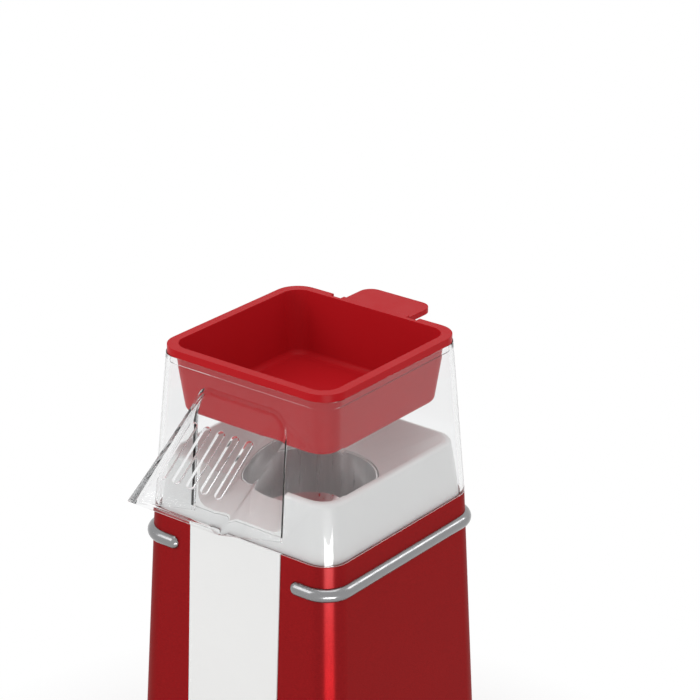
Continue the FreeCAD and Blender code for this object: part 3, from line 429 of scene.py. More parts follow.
@dataclass(frozen=True)
class ClearPlastic(Finish):
    """Clear moulded plastic that greys with thickness."""

    tint: Triple
    shade: Triple
    roughness: float
    ior: float
    depth_colour: Triple
    density: float
    coat: float = 0.35
    coat_roughness: float = 0.03
    cloud: float = 25.0
    smudge: float = 80.0
    smudge_detail: float = 4.0
    smoother: float = 0.5
    rougher: float = 1.5
    ripple: float = 45.0
    ripple_detail: float = 1.0
    relief: float = 0.0001
    relief_strength: float = 0.03

    def dress(self, sheet: ShaderSheet) -> None:
        """Set up the nodes of the clear plastic.

        Args:
            sheet: The new material.
        """
        sheet.colour(sheet.noise(self.cloud), self.tint, self.shade)
        smudge = sheet.noise(self.smudge, detail=self.smudge_detail)
        sheet.roughen(smudge, self.roughness * self.smoother, self.roughness * self.rougher)
        ripple = sheet.noise(self.ripple, detail=self.ripple_detail)
        sheet.bump(ripple, self.relief_strength, self.relief)
        sheet.fix(transmission_weight=1.0, ior=self.ior)
        sheet.fix(coat_weight=self.coat, coat_roughness=self.coat_roughness)
        depth = sheet.nodes.new("ShaderNodeVolumeAbsorption")
        depth.inputs["Color"].default_value = (*self.depth_colour, 1.0)
        depth.inputs["Density"].default_value = self.density
        sheet.links.new(depth.outputs["Volume"], sheet.output.inputs["Volume"])
        # Rays that gather light pass straight through and are only dimmed
        path = sheet.nodes.new("ShaderNodeLightPath")
        shadow, diffuse = path.outputs["Is Shadow Ray"], path.outputs["Is Diffuse Ray"]
        through = sheet.nodes.new("ShaderNodeBsdfTransparent")
        through.inputs["Color"].default_value = (*self.shade, 1.0)
        gathers = combine_values(sheet.tree, "MAXIMUM", shadow, diffuse)
        sheet.show_instead(gathers, through.outputs["BSDF"])


FINISHES: dict[Slot, Finish] = {
    Slot.WHITE_PLASTIC: Moulded((0.81, 0.81, 0.80), (0.795, 0.795, 0.787), 0.34, specular=0.4),
    Slot.BLACK_RUBBER: Moulded(
        (0.022, 0.022, 0.022), (0.034, 0.033, 0.032), 0.75, grain=1500.0, relief=0.0001
    ),
    Slot.SCREW_STEEL: Metal((0.56, 0.56, 0.57), (0.44, 0.44, 0.45), 0.34, stretch=EVEN, grain=900.0),
    Slot.PLAIN_ALUMINIUM: Metal((0.68, 0.68, 0.69), (0.58, 0.58, 0.60), 0.42),
    Slot.PLATE_STEEL: Metal((0.52, 0.52, 0.53), (0.42, 0.42, 0.44), 0.36, stretch=(14.0, 1.0, 1.0)),
    Slot.CHAMBER_ALUMINIUM: Metal(
        (0.85, 0.85, 0.85), (0.77, 0.77, 0.77), 0.32, stretch=(1.0, 1.0, 0.08), grain=320.0
    ),
    Slot.SEAL_RUBBER: Moulded((0.36, 0.07, 0.045), (0.30, 0.06, 0.04), 0.7),
    Slot.MICA: Moulded((0.46, 0.38, 0.25), (0.56, 0.48, 0.34), 0.55, grain=400.0),
    Slot.HEATER_WIRE: Metal((0.26, 0.23, 0.20), (0.15, 0.13, 0.12), 0.5, stretch=EVEN, grain=700.0),
    Slot.DARK_PLASTIC: Moulded(
        (0.018, 0.018, 0.020), (0.028, 0.028, 0.030), 0.45, grain=1400.0, relief=0.0001
    ),
    Slot.BOARD: Moulded((0.03, 0.13, 0.05), (0.045, 0.17, 0.065), 0.4),
    Slot.RED_SHELL: Lacquer(
        (0.22, 0.003, 0.005), (0.29, 0.006, 0.008), (0.6, 0.1, 0.1),
        metallic=0.88, roughness=0.4, brushing=0.85,
    ),
    Slot.SATIN_BAND: Metal(
        (0.27, 0.27, 0.275), (0.25, 0.25, 0.255), 0.22, stretch=(1.0, 1.0, 8.0), grain=200.0
    ),
    Slot.CLEAR_PLASTIC: ClearPlastic(
        (0.99, 0.992, 0.993), (0.975, 0.978, 0.98), 0.035, ior=1.22,
        depth_colour=(0.5, 0.5, 0.51), density=25.0,
    ),
    Slot.RED_SCOOP: Moulded((0.46, 0.010, 0.015), (0.435, 0.009, 0.013), 0.34, specular=0.05),
}


class Paintbox:
    """Makes each finish once and hands it out."""

    def __init__(self) -> None:
        """Start with no material made."""
        self.made: dict[Slot, bpy.types.Material] = {}

    def material(self, slot: Slot) -> bpy.types.Material:
        """The material of a slot.

        Args:
            slot: The record's slot.

        Returns:
            The material, made on first use.
        """
        if slot not in self.made:
            self.made[slot] = FINISHES[slot].material(slot.value)
        return self.made[slot]

    def paint(self, piece: Piece, slot: Slot) -> None:
        """Give a piece the finish of one slot all over."""
        piece.data.materials.clear()
        piece.data.materials.append(self.material(slot))


# Mesh building


def to_piece(bm: BMesh, name: str) -> Piece:
    """Turn a mesh under construction into an object.

    Args:
        bm: The mesh, which is freed.
        name: The object's name.

    Returns:
        The new object, at the origin.
    """
    bmesh.ops.recalc_face_normals(bm, faces=bm.faces)
    mesh = bpy.data.meshes.new(name)
    bm.to_mesh(mesh)
    bm.free()
    piece = bpy.data.objects.new(name, mesh)
    bpy.context.scene.collection.objects.link(piece)
    return piece


def settle(piece: Piece) -> None:
    """Make what the modifiers show the piece's own mesh.

    Args:
        piece: The piece.
    """
    depsgraph = bpy.context.evaluated_depsgraph_get()
    mesh = bpy.data.meshes.new_from_object(piece.evaluated_get(depsgraph))
    before = piece.data
    piece.modifiers.clear()
    piece.data = mesh
    mesh.name = piece.name
    bpy.data.meshes.remove(before)


def combine(piece: Piece, others: Iterable[Piece], operation: str) -> None:
    """Join pieces to a piece or cut them out of it, and remove them.

    Args:
        piece: The piece that stays.
        others: The pieces that are used up.
        operation: UNION or DIFFERENCE.
    """
    spent = list(others)
    for other in spent:
        modifier = piece.modifiers.new(operation, "BOOLEAN")
        modifier.operation = operation
        modifier.solver = "EXACT"
        modifier.object = other
    settle(piece)
    for other in spent:
        mesh = other.data
        bpy.data.objects.remove(other)
        bpy.data.meshes.remove(mesh)


def carve(piece: Piece, *tools: Piece) -> None:
    """Cut tools out of a piece, which uses them up."""
    combine(piece, tools, "DIFFERENCE")


def join(piece: Piece, *others: Piece) -> None:
    """Join other pieces to a piece, which uses them up."""
    combine(piece, others, "UNION")


def thicken(piece: Piece, wall: float) -> None:
    """Give an open skin a wall on its inner side.

    Args:
        piece: The skin.
        wall: The wall's thickness.
    """
    modifier = piece.modifiers.new("wall", "SOLIDIFY")
    modifier.thickness = wall
    modifier.offset = -1.0
    modifier.use_even_offset = True
    settle(piece)


def tidy_mesh(piece: Piece) -> None:
    """Merge doubled points and flat neighbours.

    Args:
        piece: The piece.
    """
    bm = bmesh.new()
    bm.from_mesh(piece.data)
    bmesh.ops.remove_doubles(bm, verts=bm.verts, dist=NEAR)
    bmesh.ops.dissolve_degenerate(bm, dist=NEAR, edges=bm.edges)
    bmesh.ops.dissolve_limit(
        bm, angle_limit=FLAT_ANGLE, use_dissolve_boundaries=False, verts=bm.verts, edges=bm.edges
    )
    bmesh.ops.recalc_face_normals(bm, faces=bm.faces)
    bm.to_mesh(piece.data)
    bm.free()


def shade(piece: Piece) -> None:
    """Shade faces smooth, keep sharp edges sharp and wide faces flat.

    Args:
        piece: The piece.
    """
    piece.data.shade_smooth()
    piece.data.set_sharp_from_angle(angle=SHARP_ANGLE)
    modifier = piece.modifiers.new("flat_faces", "WEIGHTED_NORMAL")
    modifier.keep_sharp = True
    settle(piece)


def soften(piece: Piece, width: float, steps: int = 3) -> None:
    """Round every sharp edge and shade the rest smooth.

    Args:
        piece: The piece.
        width: The width of the rounding.
        steps: The number of steps across it.
    """
    tidy_mesh(piece)
    modifier = piece.modifiers.new("soft_edges", "BEVEL")
    modifier.width = width
    modifier.segments = steps
    modifier.limit_method = "ANGLE"
    modifier.angle_limit = ROUND_ANGLE
    modifier.use_clamp_overlap = True
    settle(piece)
    shade(piece)


def upright(edge: BMEdge) -> bool:
    """Whether an edge runs from one level to another."""
    return abs(edge.verts[0].co.z - edge.verts[1].co.z) > NEAR


def at_level(part: BMEdge | BMFace, z: float) -> bool:
    """Whether an edge or a face lies at one height."""
    return all(abs(v.co.z - z) < NEAR for v in part.verts)


def sloped(edge: BMEdge, slope: float) -> bool:
    """Whether an edge runs in the side plane with one rise for each length in y."""
    run = edge.verts[1].co - edge.verts[0].co
    return abs(run.x) < NEAR and abs(run.z - slope * run.y) < SLOPE_MATCH * abs(run.y)


def round_edges(bm: BMesh, wanted: Callable[[BMEdge], bool], radius: float, steps: int) -> None:
    """Round the edges for which a test holds.

    Args:
        bm: The mesh.
        wanted: The test.
        radius: The radius of the rounding.
        steps: The number of steps across it.
    """
    bmesh.ops.bevel(
        bm, geom=[e for e in bm.edges if wanted(e)], offset=radius, offset_type="OFFSET", segments=steps,
        profile=0.5, affect="EDGES", material=-1,
    )


def draw_out(bm: BMesh, faces: list[BMFace], run: Triple) -> None:
    """Draw faces out along a straight run, and leave the faces where they start.

    Args:
        bm: The mesh.
        faces: The faces.
        run: The length along each axis.
    """
    grown = bmesh.ops.extrude_face_region(bm, geom=faces)["geom"]
    bmesh.ops.translate(bm, vec=run, verts=[g for g in grown if isinstance(g, BMVert)])


def side_prism(outline: list[Point], half_width: float) -> BMesh:
    """An outline in the side plane, drawn out evenly to both sides.

    Args:
        outline: The corners in y and z.
        half_width: Half the width.

    Returns:
        The closed mesh.
    """
    bm = bmesh.new()
    face = bm.faces.new([bm.verts.new((-half_width, y, z)) for y, z in outline])
    draw_out(bm, [face], (2 * half_width, 0.0, 0.0))
    return bm


def cuboid(low: Triple, high: Triple) -> BMesh:
    """A plain box between two corners.

    Args:
        low: The lowest corner.
        high: The highest corner.

    Returns:
        The closed mesh.
    """
    first, last = Vector(low), Vector(high)
    bm = bmesh.new()
    bmesh.ops.create_cube(bm, size=1.0)
    bmesh.ops.scale(bm, vec=last - first, verts=bm.verts)
    bmesh.ops.translate(bm, vec=(first + last) / 2, verts=bm.verts)
    return bm


def cylinder(radius: float, length: float, steps: int, place: Matrix) -> BMesh:
    """A cylinder about the origin of its place.

    Args:
        radius: Its radius.
        length: Its length.
        steps: The number of steps round it.
        place: Where its middle goes and how it is turned.

    Returns:
        The closed mesh.
    """
    bm = bmesh.new()
    bmesh.ops.create_cone(
        bm, cap_ends=True, segments=steps, radius1=radius, radius2=radius, depth=length, matrix=place
    )
    return bm


def drum(
    name: str, radius: float, middle: Point, low_z: float, high_z: float, steps: int = HOLE_STEPS
) -> Piece:
    """An upright cylinder, used as a tool.

    Args:
        name: The object's name.
        radius: Its radius.
        middle: Its place in x and y.
        low_z: Its lower end.
        high_z: Its upper end.
        steps: The number of steps round it.

    Returns:
        The cylinder.
    """
    place = Matrix.Translation((*middle, (low_z + high_z) / 2))
    return to_piece(cylinder(radius, high_z - low_z, steps, place), name)


def in_row(count: int, pitch: float) -> list[float]:
    """Evenly spaced places on both sides of zero."""
    return [(index - (count - 1) / 2) * pitch for index in range(count)]


@dataclass(frozen=True)
class Tower:
    """An upright square column with rounded corners and an even taper."""

    low_half: float
    high_half: float
    corner: float
    low_z: float
    high_z: float
    axis_y: float

    def half_at(self, z: float) -> float:
        """Half the width at one height."""
        share = (z - self.low_z) / (self.high_z - self.low_z)
        return self.low_half + share * (self.high_half - self.low_half)

    def smaller(self, gap: float) -> "Tower":
        """The column with every side moved in.

        Args:
            gap: How far.

        Returns:
            The smaller column.
        """
        return replace(
            self, low_half=self.low_half - gap, high_half=self.high_half - gap, corner=self.corner - gap
        )

    def below(self, z: float) -> "Tower":
        """The part of the column below one height."""
        return replace(self, high_half=self.half_at(z), high_z=z)

    def solid(self) -> BMesh:
        """The column as a closed mesh.

        Returns:
            The mesh.
        """
        bm = bmesh.new()
        height = self.high_z - self.low_z
        bmesh.ops.create_cube(bm, size=2.0)
        bmesh.ops.scale(bm, vec=(self.low_half, self.low_half, height / 2), verts=bm.verts)
        bmesh.ops.translate(bm, vec=(0, self.axis_y, self.low_z + height / 2), verts=bm.verts)
        round_edges(bm, upright, self.corner, CORNER_STEPS)
        growth = self.high_half / self.low_half
        top = [v for v in bm.verts if v.co.z > self.low_z + height / 2]
        middle = Matrix.Translation((0, -self.axis_y, 0))
        bmesh.ops.scale(bm, vec=(growth, growth, 1), space=middle, verts=top)
        return bm

    def piece(self, name: str) -> Piece:
        """The column as a closed object."""
        return to_piece(self.solid(), name)

    def tube(self, name: str, wall: float) -> Piece:
        """The column as a wall that is open above and below.

        Args:
            name: The object's name.
            wall: The wall's thickness.

        Returns:
            The object.
        """
        bm = self.solid()
        ends = [f for f in bm.faces if at_level(f, self.low_z) or at_level(f, self.high_z)]
        bmesh.ops.delete(bm, geom=ends, context="FACES_ONLY")
        piece = to_piece(bm, name)
        thicken(piece, wall)
        return piece


# The sub-assemblies


@dataclass(frozen=True)
class SubAssembly:
    """A group of new pieces round the upright axis, with what they are made from."""

    paints: Paintbox
    nodes: dict[str, Piece]
    axis_y: float

    def fit(self, piece: Piece, body: Body, slot: Slot, node: str) -> None:
        """Paint a piece, let it ride on its body and stand for its node.

        Args:
            piece: The piece.
            body: The body that carries it.
            slot: Its finish.
            node: The node that it stands for.
        """
        self.paints.paint(piece, slot)
        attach(piece, body.value)
        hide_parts(node)
        LOG.info("%s has %d faces", piece.name, len(piece.data.polygons))

    def rounded_copy(self, node: str, name: str, width: float) -> Piece:
        """A copy of a small node with rounded edges.

        Args:
            node: The node.
            name: The copy's name.
            width: The width of the rounding.

        Returns:
            The copy.
        """
        bm = bmesh.new()
        bm.from_mesh(self.nodes[node].data)
        piece = to_piece(bm, name)
        soften(piece, width)
        return piece


@dataclass(frozen=True)
class Housing(SubAssembly):
    """The red body, its front strip, its band, the base, the feet and the cord's bush."""

    top_half: float = 0.060
    corner: float = 0.015
    wall: float = 0.0025
    edge: float = 0.0006
    small_edge: float = 0.0005
    panel_half: float = 0.029
    panel_thick: float = 0.0014
    band_radius: float = 0.0038
    band_sink: float = 0.0008
    band_end: float = 0.040
    band_drop: float = 0.015
    band_edge: float = 0.0003
    band_edge_steps: int = 2
    base_edge: float = 0.002
    base_edge_steps: int = 4
    base_rim: float = base_edge / 3
    base_rim_steps: int = 3
    lip_thick: float = 0.0025
    post_offset: float = 0.044
    bore_radius: float = 0.0018
    bore_steps: int = 24
    slot_count: int = 9
    slot_pitch: float = 0.007
    slot_width: float = 0.003
    slot_length: float = 0.060
    gland_radius: float = 0.0047
    gland_steps: int = 48
    switch_half_x: float = 0.0104
    switch_half_z: float = 0.0134

    @property
    def column(self) -> Tower:
        """The outer form of the body."""
        low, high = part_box("outer_shell")
        return Tower(high[0], self.top_half, self.corner, low[2], high[2], self.axis_y)

    def front_at(self, z: float) -> float:
        """The place in y of the front wall at one height."""
        return self.axis_y - self.column.half_at(z)

    def build(self) -> None:
        """Make every piece of the housing."""
        self.build_shell()
        self.build_strip()
        self.build_band()
        self.build_base()
        for node, name in (("rubber_feet", "round_feet"), ("cord_gland", "cord_bush")):
            piece = self.rounded_copy(node, name, self.small_edge)
            self.fit(piece, Body.HOUSING, Slot.BLACK_RUBBER, node)

    def build_shell(self) -> None:
        """The red wall with its recess for the strip and its switch hole."""
        column = self.column
        low_z, high_z = column.low_z - OVER, column.high_z + OVER
        ahead = self.front_at(low_z) - OVER
        recess = side_prism([
            (self.front_at(low_z) + self.panel_thick, low_z),
            (self.front_at(high_z) + self.panel_thick, high_z),
            (ahead, high_z),
            (ahead, low_z),
        ], self.panel_half + CLEAR)
        low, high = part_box("switch_frame")
        switch_z = (low[2] + high[2]) / 2
        back = self.axis_y + column.half_at(switch_z)
        opening = cuboid(
            (-self.switch_half_x, back - 2 * OVER, switch_z - self.switch_half_z),
            (self.switch_half_x, back + 2 * OVER, switch_z + self.switch_half_z),
        )
        shell = column.tube("red_shell", self.wall)
        carve(shell, to_piece(recess, "recess"), to_piece(opening, "switch_opening"))
        soften(shell, self.edge)
        self.fit(shell, Body.HOUSING, Slot.RED_SHELL, "outer_shell")

    def build_strip(self) -> None:
        """The white strip in the front."""
        column = self.column
        strip = to_piece(side_prism([
            (self.front_at(column.low_z), column.low_z),
            (self.front_at(column.high_z), column.high_z),
            (self.front_at(column.high_z) + self.panel_thick, column.high_z),
            (self.front_at(column.low_z) + self.panel_thick, column.low_z),
        ], self.panel_half), "front_strip")
        soften(strip, self.small_edge)
        self.fit(strip, Body.HOUSING, Slot.WHITE_PLASTIC, "front_panel")

    def build_band(self) -> None:
        """The half-round band with rounded ends on the front."""
        column = self.column
        level = column.high_z - self.band_drop
        half = column.half_at(level) - self.band_sink
        bm = bmesh.new()
        self.sweep_band(bm, half, level)
        for side in (-1, 1):
            self.close_band(bm, side, half, level)
        bmesh.ops.remove_doubles(bm, verts=bm.verts, dist=NEAR)
        band = to_piece(bm, "trim_band")
        carve(band, column.piece("band_seat"))
        soften(band, self.band_edge, self.band_edge_steps)
        self.fit(band, Body.HOUSING, Slot.SATIN_BAND, "upper_trim_band")

    def band_start(self, side: int, half: float, level: float) -> Matrix:
        """The place of one front end of the band, turned across its section."""
        across = Matrix.Rotation(math.pi / 2, 4, "Y")
        return Matrix.Translation((side * self.band_end, self.axis_y - half, level)) @ across

    def sweep_band(self, bm: BMesh, half: float, level: float) -> None:
        """Draw the band's round section round the body, from one front end to the other.

        Args:
            bm: The mesh.
            half: Half the width of the band's middle line.
            level: The height of the band.
        """
        radius = self.corner * self.top_half / self.column.low_half - self.band_sink
        inner = half - radius
        start = self.band_start(1, half, level)
        bmesh.ops.create_circle(bm, radius=self.band_radius, segments=BAND_STEPS, matrix=start)
        edges = list(bm.edges)
        runs = [inner - self.band_end, 2 * inner, 2 * inner, 2 * inner, inner - self.band_end]
        for quarter, run in enumerate(runs):
            facing = Matrix.Rotation(quarter * math.pi / 2, 3, "Z")
            grown = bmesh.ops.extrude_edge_only(bm, edges=edges)["geom"]
            fresh = {g for g in grown if isinstance(g, BMVert)}
            bmesh.ops.translate(bm, verts=list(fresh), vec=facing @ Vector((run, 0, 0)))
            edges = [e for e in bm.edges if e.verts[0] in fresh and e.verts[1] in fresh]
            if quarter == len(runs) - 1:
                break
            centre = facing @ Vector((inner, -inner, 0)) + Vector((0, self.axis_y, level))
            turned = bmesh.ops.spin(
                bm, geom=edges, cent=centre, axis=(0, 0, 1), angle=math.pi / 2, steps=CORNER_STEPS
            )["geom_last"]
            edges = [g for g in turned if isinstance(g, BMEdge)]

    def close_band(self, bm: BMesh, side: int, half: float, level: float) -> None:
        """Put half a ball on one front end of the band.

        Args:
            bm: The mesh.
            side: 1 for the right end and -1 for the left end.
            half: Half the width of the band's middle line.
            level: The height of the band.
        """
        ball = bmesh.ops.create_uvsphere(
            bm, u_segments=BAND_STEPS, v_segments=BAND_STEPS // 2, radius=self.band_radius,
            matrix=self.band_start(side, half, level),
        )["verts"]
        behind = [v for v in ball if side * v.co.x > self.band_end + NEAR]
        bmesh.ops.delete(bm, geom=behind, context="VERTS")

    def build_base(self) -> None:
        """The white base with its lip, its air slots, its screw bores and its cord hole."""
        low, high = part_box("base_tray")
        column = self.column
        overhang = high[0] - column.low_half
        tray = Tower(high[0], high[0], self.corner + overhang, low[2], column.low_z, self.axis_y)
        bm = tray.solid()
        round_edges(bm, lambda e: at_level(e, tray.low_z), self.base_edge, self.base_edge_steps)
        round_edges(bm, lambda e: at_level(e, tray.high_z), self.base_rim, self.base_rim_steps)
        base = to_piece(bm, "white_base")
        lip_half = column.half_at(high[2]) - self.wall - CLEAR
        lip_corner = self.corner - self.wall - CLEAR
        lip = Tower(lip_half, lip_half, lip_corner, tray.high_z - self.lip_thick, high[2], self.axis_y)
        join(base, lip.piece("base_lip"))
        room = replace(lip.smaller(self.lip_thick), low_z=low[2] + self.wall, high_z=high[2] + OVER)
        carve(base, room.piece("base_room"), *self.base_holes(tray))
        soften(base, self.small_edge)
        self.fit(base, Body.HOUSING, Slot.WHITE_PLASTIC, "base_tray")

    def base_holes(self, tray: Tower) -> list[Piece]:
        """The tools that cut the bores, the slots and the cord hole of the base.

        Args:
            tray: The outer form of the base.

        Returns:
            The tools.
        """
        tools = []
        under, over = tray.low_z - OVER, tray.low_z + OVER
        for x in (-self.post_offset, self.post_offset):
            for y in (-self.post_offset, self.post_offset):
                middle = (x, self.axis_y + y)
                tools.append(drum("screw_bore", self.bore_radius, middle, under, over, self.bore_steps))
        for x in in_row(self.slot_count, self.slot_pitch):
            slot = cuboid(
                (x - self.slot_width / 2, self.axis_y - self.slot_length / 2, under),
                (x + self.slot_width / 2, self.axis_y + self.slot_length / 2, over),
            )
            tools.append(to_piece(slot, "air_slot"))
        low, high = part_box("cord_gland")
        middle = Matrix.Translation((0, self.axis_y + tray.low_half, (low[2] + high[2]) / 2))
        along = Matrix.Rotation(math.pi / 2, 4, "X")
        hole = cylinder(self.gland_radius, 4 * OVER, self.gland_steps, middle @ along)
        tools.append(to_piece(hole, "gland_hole"))
        return tools


@dataclass(frozen=True)
class Deck(SubAssembly):
    """The white funnel deck on top of the body."""

    top_half: float = 0.0534
    corner: float = 0.012
    plug: float = 0.012
    wall: float = 0.0025
    rim_round: float = 0.0024
    rim_steps: int = 5
    edge: float = 0.0005
    funnel_half: float = 0.0504
    funnel_corner: float = 0.010
    funnel_skin: float = 0.003
    hole_radius: float = 0.034
    hole_rise: float = 0.012
    sleeve_wall: float = 0.004
    sleeve_drop: float = 0.017
    ramp_half: float = 0.027
    ramp_rise: float = 0.008
    ramp_floor: float = 0.0045
    ramp_round: float = 0.007
    ramp_steps: int = 8

    @property
    def tower(self) -> Tower:
        """The outer form of the deck above the body."""
        low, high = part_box("funnel_deck")
        return Tower(high[0], self.top_half, self.corner, low[2] + self.plug, high[2], self.axis_y)

    @property
    def hole_z(self) -> float:
        """The height of the hole's edge."""
        return self.tower.low_z + self.hole_rise

    @property
    def ramp_low_z(self) -> float:
        """The height of the ramp's front edge."""
        return self.tower.low_z + self.ramp_rise

    def build(self) -> None:
        """Make the deck with its funnel, its sleeve and its front ramp."""
        tower = self.tower
        bm = tower.solid()
        round_edges(bm, lambda e: at_level(e, tower.high_z), self.rim_round, self.rim_steps)
        under = [f for f in bm.faces if at_level(f, tower.low_z)]
        draw_out(bm, under, (0.0, 0.0, -self.plug))
        bmesh.ops.delete(bm, geom=under, context="FACES_ONLY")
        deck = to_piece(bm, "funnel_deck_top")
        low_z = tower.low_z - self.plug - OVER
        hole = drum("hole", self.hole_radius + CLEAR, (0.0, self.axis_y), low_z, tower.high_z)
        carve(deck, self.room(low_z), self.funnel("funnel_room", 0.0), self.ramp(), hole)
        soften(deck, self.edge)
        self.fit(deck, Body.HOUSING, Slot.WHITE_PLASTIC, "funnel_deck")

    def funnel(self, name: str, grow: float) -> Piece:
        """The room of the funnel, from a round hole up to a square mouth.

        Args:
            name: The object's name.
            grow: How much larger it is on every side.

        Returns:
            The closed form.
        """
        top_z = self.tower.high_z
        half = self.funnel_half + grow
        column = Tower(half, half, self.funnel_corner + grow, self.hole_z - grow, top_z + OVER, self.axis_y)
        bm = column.solid()
        centre = half - column.corner
        # The form has its full mouth at the deck's top and goes on past it in the same slant
        share = (top_z - column.low_z) / (column.high_z - column.low_z)
        for vert in bm.verts:
            side = Vector((vert.co.x, vert.co.y - self.axis_y, 0))
            root = Vector((math.copysign(centre, side.x), math.copysign(centre, side.y), 0))
            outward = (side - root).normalized()
            hole = outward * (self.hole_radius + grow)
            moved = hole if vert.co.z < top_z else hole.lerp(side, 1 / share)
            vert.co = Vector((moved.x, moved.y + self.axis_y, vert.co.z))
        return to_piece(bm, name)

    def room(self, low_z: float) -> Piece:
        """The hollow under the deck, round the funnel, the sleeve and the ramp.

        Args:
            low_z: Its lower end.

        Returns:
            The closed form.
        """
        tower = self.tower
        inner = replace(tower.smaller(self.wall), low_z=low_z, high_z=tower.high_z - self.funnel_skin)
        room = inner.piece("deck_room")
        sleeve_radius = self.hole_radius + self.sleeve_wall
        sleeve_z = self.hole_z - self.sleeve_drop
        ramp = cuboid(
            (-self.ramp_half - self.wall, self.axis_y - tower.low_half, self.ramp_low_z - self.ramp_floor),
            (self.ramp_half + self.wall, self.axis_y - self.hole_radius, tower.high_z),
        )
        carve(
            room, self.funnel("funnel_under", self.funnel_skin),
            drum("sleeve_keep", sleeve_radius, (0.0, self.axis_y), sleeve_z, tower.high_z),
            to_piece(ramp, "ramp_keep"),
        )
        return room

    def ramp(self) -> Piece:
        """The way from the hole down to the front edge.

        Returns:
            The closed form.
        """
        tower = self.tower
        slope = (self.hole_z - self.ramp_low_z) / (tower.low_half - self.hole_radius)
        reach = 2 * OVER
        front = self.axis_y - tower.low_half - reach
        bm = side_prism([
            (front, self.ramp_low_z - slope * reach),
            (self.axis_y, self.hole_z + slope * self.hole_radius),
            (self.axis_y, tower.high_z + reach),
            (front, tower.high_z + reach),
        ], self.ramp_half)
        round_edges(bm, lambda e: sloped(e, slope), self.ramp_round, self.ramp_steps)
        return to_piece(bm, "ramp_room")


@dataclass(frozen=True)
class Hood(SubAssembly):
    """The clear hood and its slotted spout."""

    top_half: float = 0.0542
    corner: float = 0.013
    wall: float = 0.0022
    rim_height: float = 0.004
    rim_step: float = 0.0008
    edge: float = 0.0005
    spout_half: float = 0.029
    spout_wall: float = 0.002
    spout_rise: float = 0.0705
    tip_rise: float = 0.0306
    nose: float = 0.0024
    sill: float = 0.005
    spout_round: float = 0.009
    spout_steps: int = 8
    slot_count: int = 5
    slot_pitch: float = 0.0088
    slot_width: float = 0.004
    slot_length: float = 0.0325
    slot_reach: float = 0.08075
    slot_steps: int = 32

    @property
    def column(self) -> Tower:
        """The outer form of the hood."""
        low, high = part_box("clear_hood")
        return Tower(high[0], self.top_half, self.corner, low[2], high[2], self.axis_y)

    @property
    def reach(self) -> float:
        """How far the spout's tip is from the axis."""
        return self.axis_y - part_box("spout_cover")[0][1]

    @property
    def slope(self) -> float:
        """The rise of the spout's plate for each length in y."""
        root = self.column.half_at(self.column.low_z + self.spout_rise)
        return (self.spout_rise - self.tip_rise) / (self.reach - root)

    def plate_z(self, y: float) -> float:
        """The height of the spout's plate at one distance in front of the axis."""
        return self.column.low_z + self.tip_rise + (self.reach - y) * self.slope

    def build(self) -> None:
        """Make the hood and the spout."""
        column = self.column
        sill_z = column.low_z + self.sill
        hood = column.tube("clear_hood_wall", self.wall)
        seat = self.top_half - self.wall + self.rim_step
        seat_z = column.high_z - self.rim_height
        step = Tower(seat, seat, self.corner - self.wall, seat_z, column.high_z + OVER, self.axis_y)
        mouth = self.wedge("mouth", 0.0, 2 * OVER, sill_z, CLEAR)
        carve(hood, step.piece("rim_step"), mouth)
        soften(hood, self.edge)
        self.fit(hood, Body.HOOD, Slot.CLEAR_PLASTIC, "clear_hood")
        spout = self.wedge("clear_spout", 0.0, self.wall, sill_z)
        inside = self.wedge("spout_inside", self.spout_wall, 2 * OVER, column.low_z - OVER)
        carve(spout, inside, *self.slots())
        soften(spout, self.edge)
        self.fit(spout, Body.HOOD, Slot.CLEAR_PLASTIC, "spout_cover")

    def wedge(self, name: str, inset: float, root: float, low_z: float, lift: float = 0.0) -> Piece:
        """The form of the spout seen from the side.

        Args:
            name: The object's name.
            inset: How far every side is moved in.
            root: How far it reaches back through the hood's wall.
            low_z: The height of its lower back corner.
            lift: How far the whole form is raised.

        Returns:
            The closed form.
        """
        column = self.column
        drop = inset * math.hypot(1.0, self.slope)
        back = column.half_at(column.low_z + self.spout_rise) - root
        low_back = column.half_at(low_z) - root
        tip = self.reach - inset
        tip_low = low_z if inset else self.plate_z(tip) - self.nose
        bm = side_prism([
            (self.axis_y - back, self.plate_z(back) - drop),
            (self.axis_y - tip, self.plate_z(tip) - drop),
            (self.axis_y - tip, tip_low),
            (self.axis_y - low_back, low_z),
        ], self.spout_half - inset)
        round_edges(bm, lambda e: sloped(e, self.slope), self.spout_round - inset, self.spout_steps)
        bmesh.ops.translate(bm, vec=(0, 0, lift), verts=bm.verts)
        return to_piece(bm, name)

    def slots(self) -> list[Piece]:
        """The long holes through the spout's plate.

        Returns:
            The tools that cut them.
        """
        tools = []
        middle = Vector((0, self.axis_y - self.slot_reach, self.plate_z(self.slot_reach)))
        tilt = Matrix.Translation(middle) @ Matrix.Rotation(math.atan(self.slope), 4, "X")
        straight = self.slot_length - self.slot_width
        for x in in_row(self.slot_count, self.slot_pitch):
            bm = cylinder(self.slot_width / 2, 4 * OVER, self.slot_steps, Matrix())
            for side in (1, -1):
                end = [v for v in bm.verts if side * v.co.y > NEAR]
                bmesh.ops.translate(bm, vec=(0, side * straight / 2, 0), verts=end)
            bmesh.ops.transform(bm, matrix=tilt @ Matrix.Translation((x, 0, 0)), verts=bm.verts)
            tools.append(to_piece(bm, "spout_slot"))
        return tools


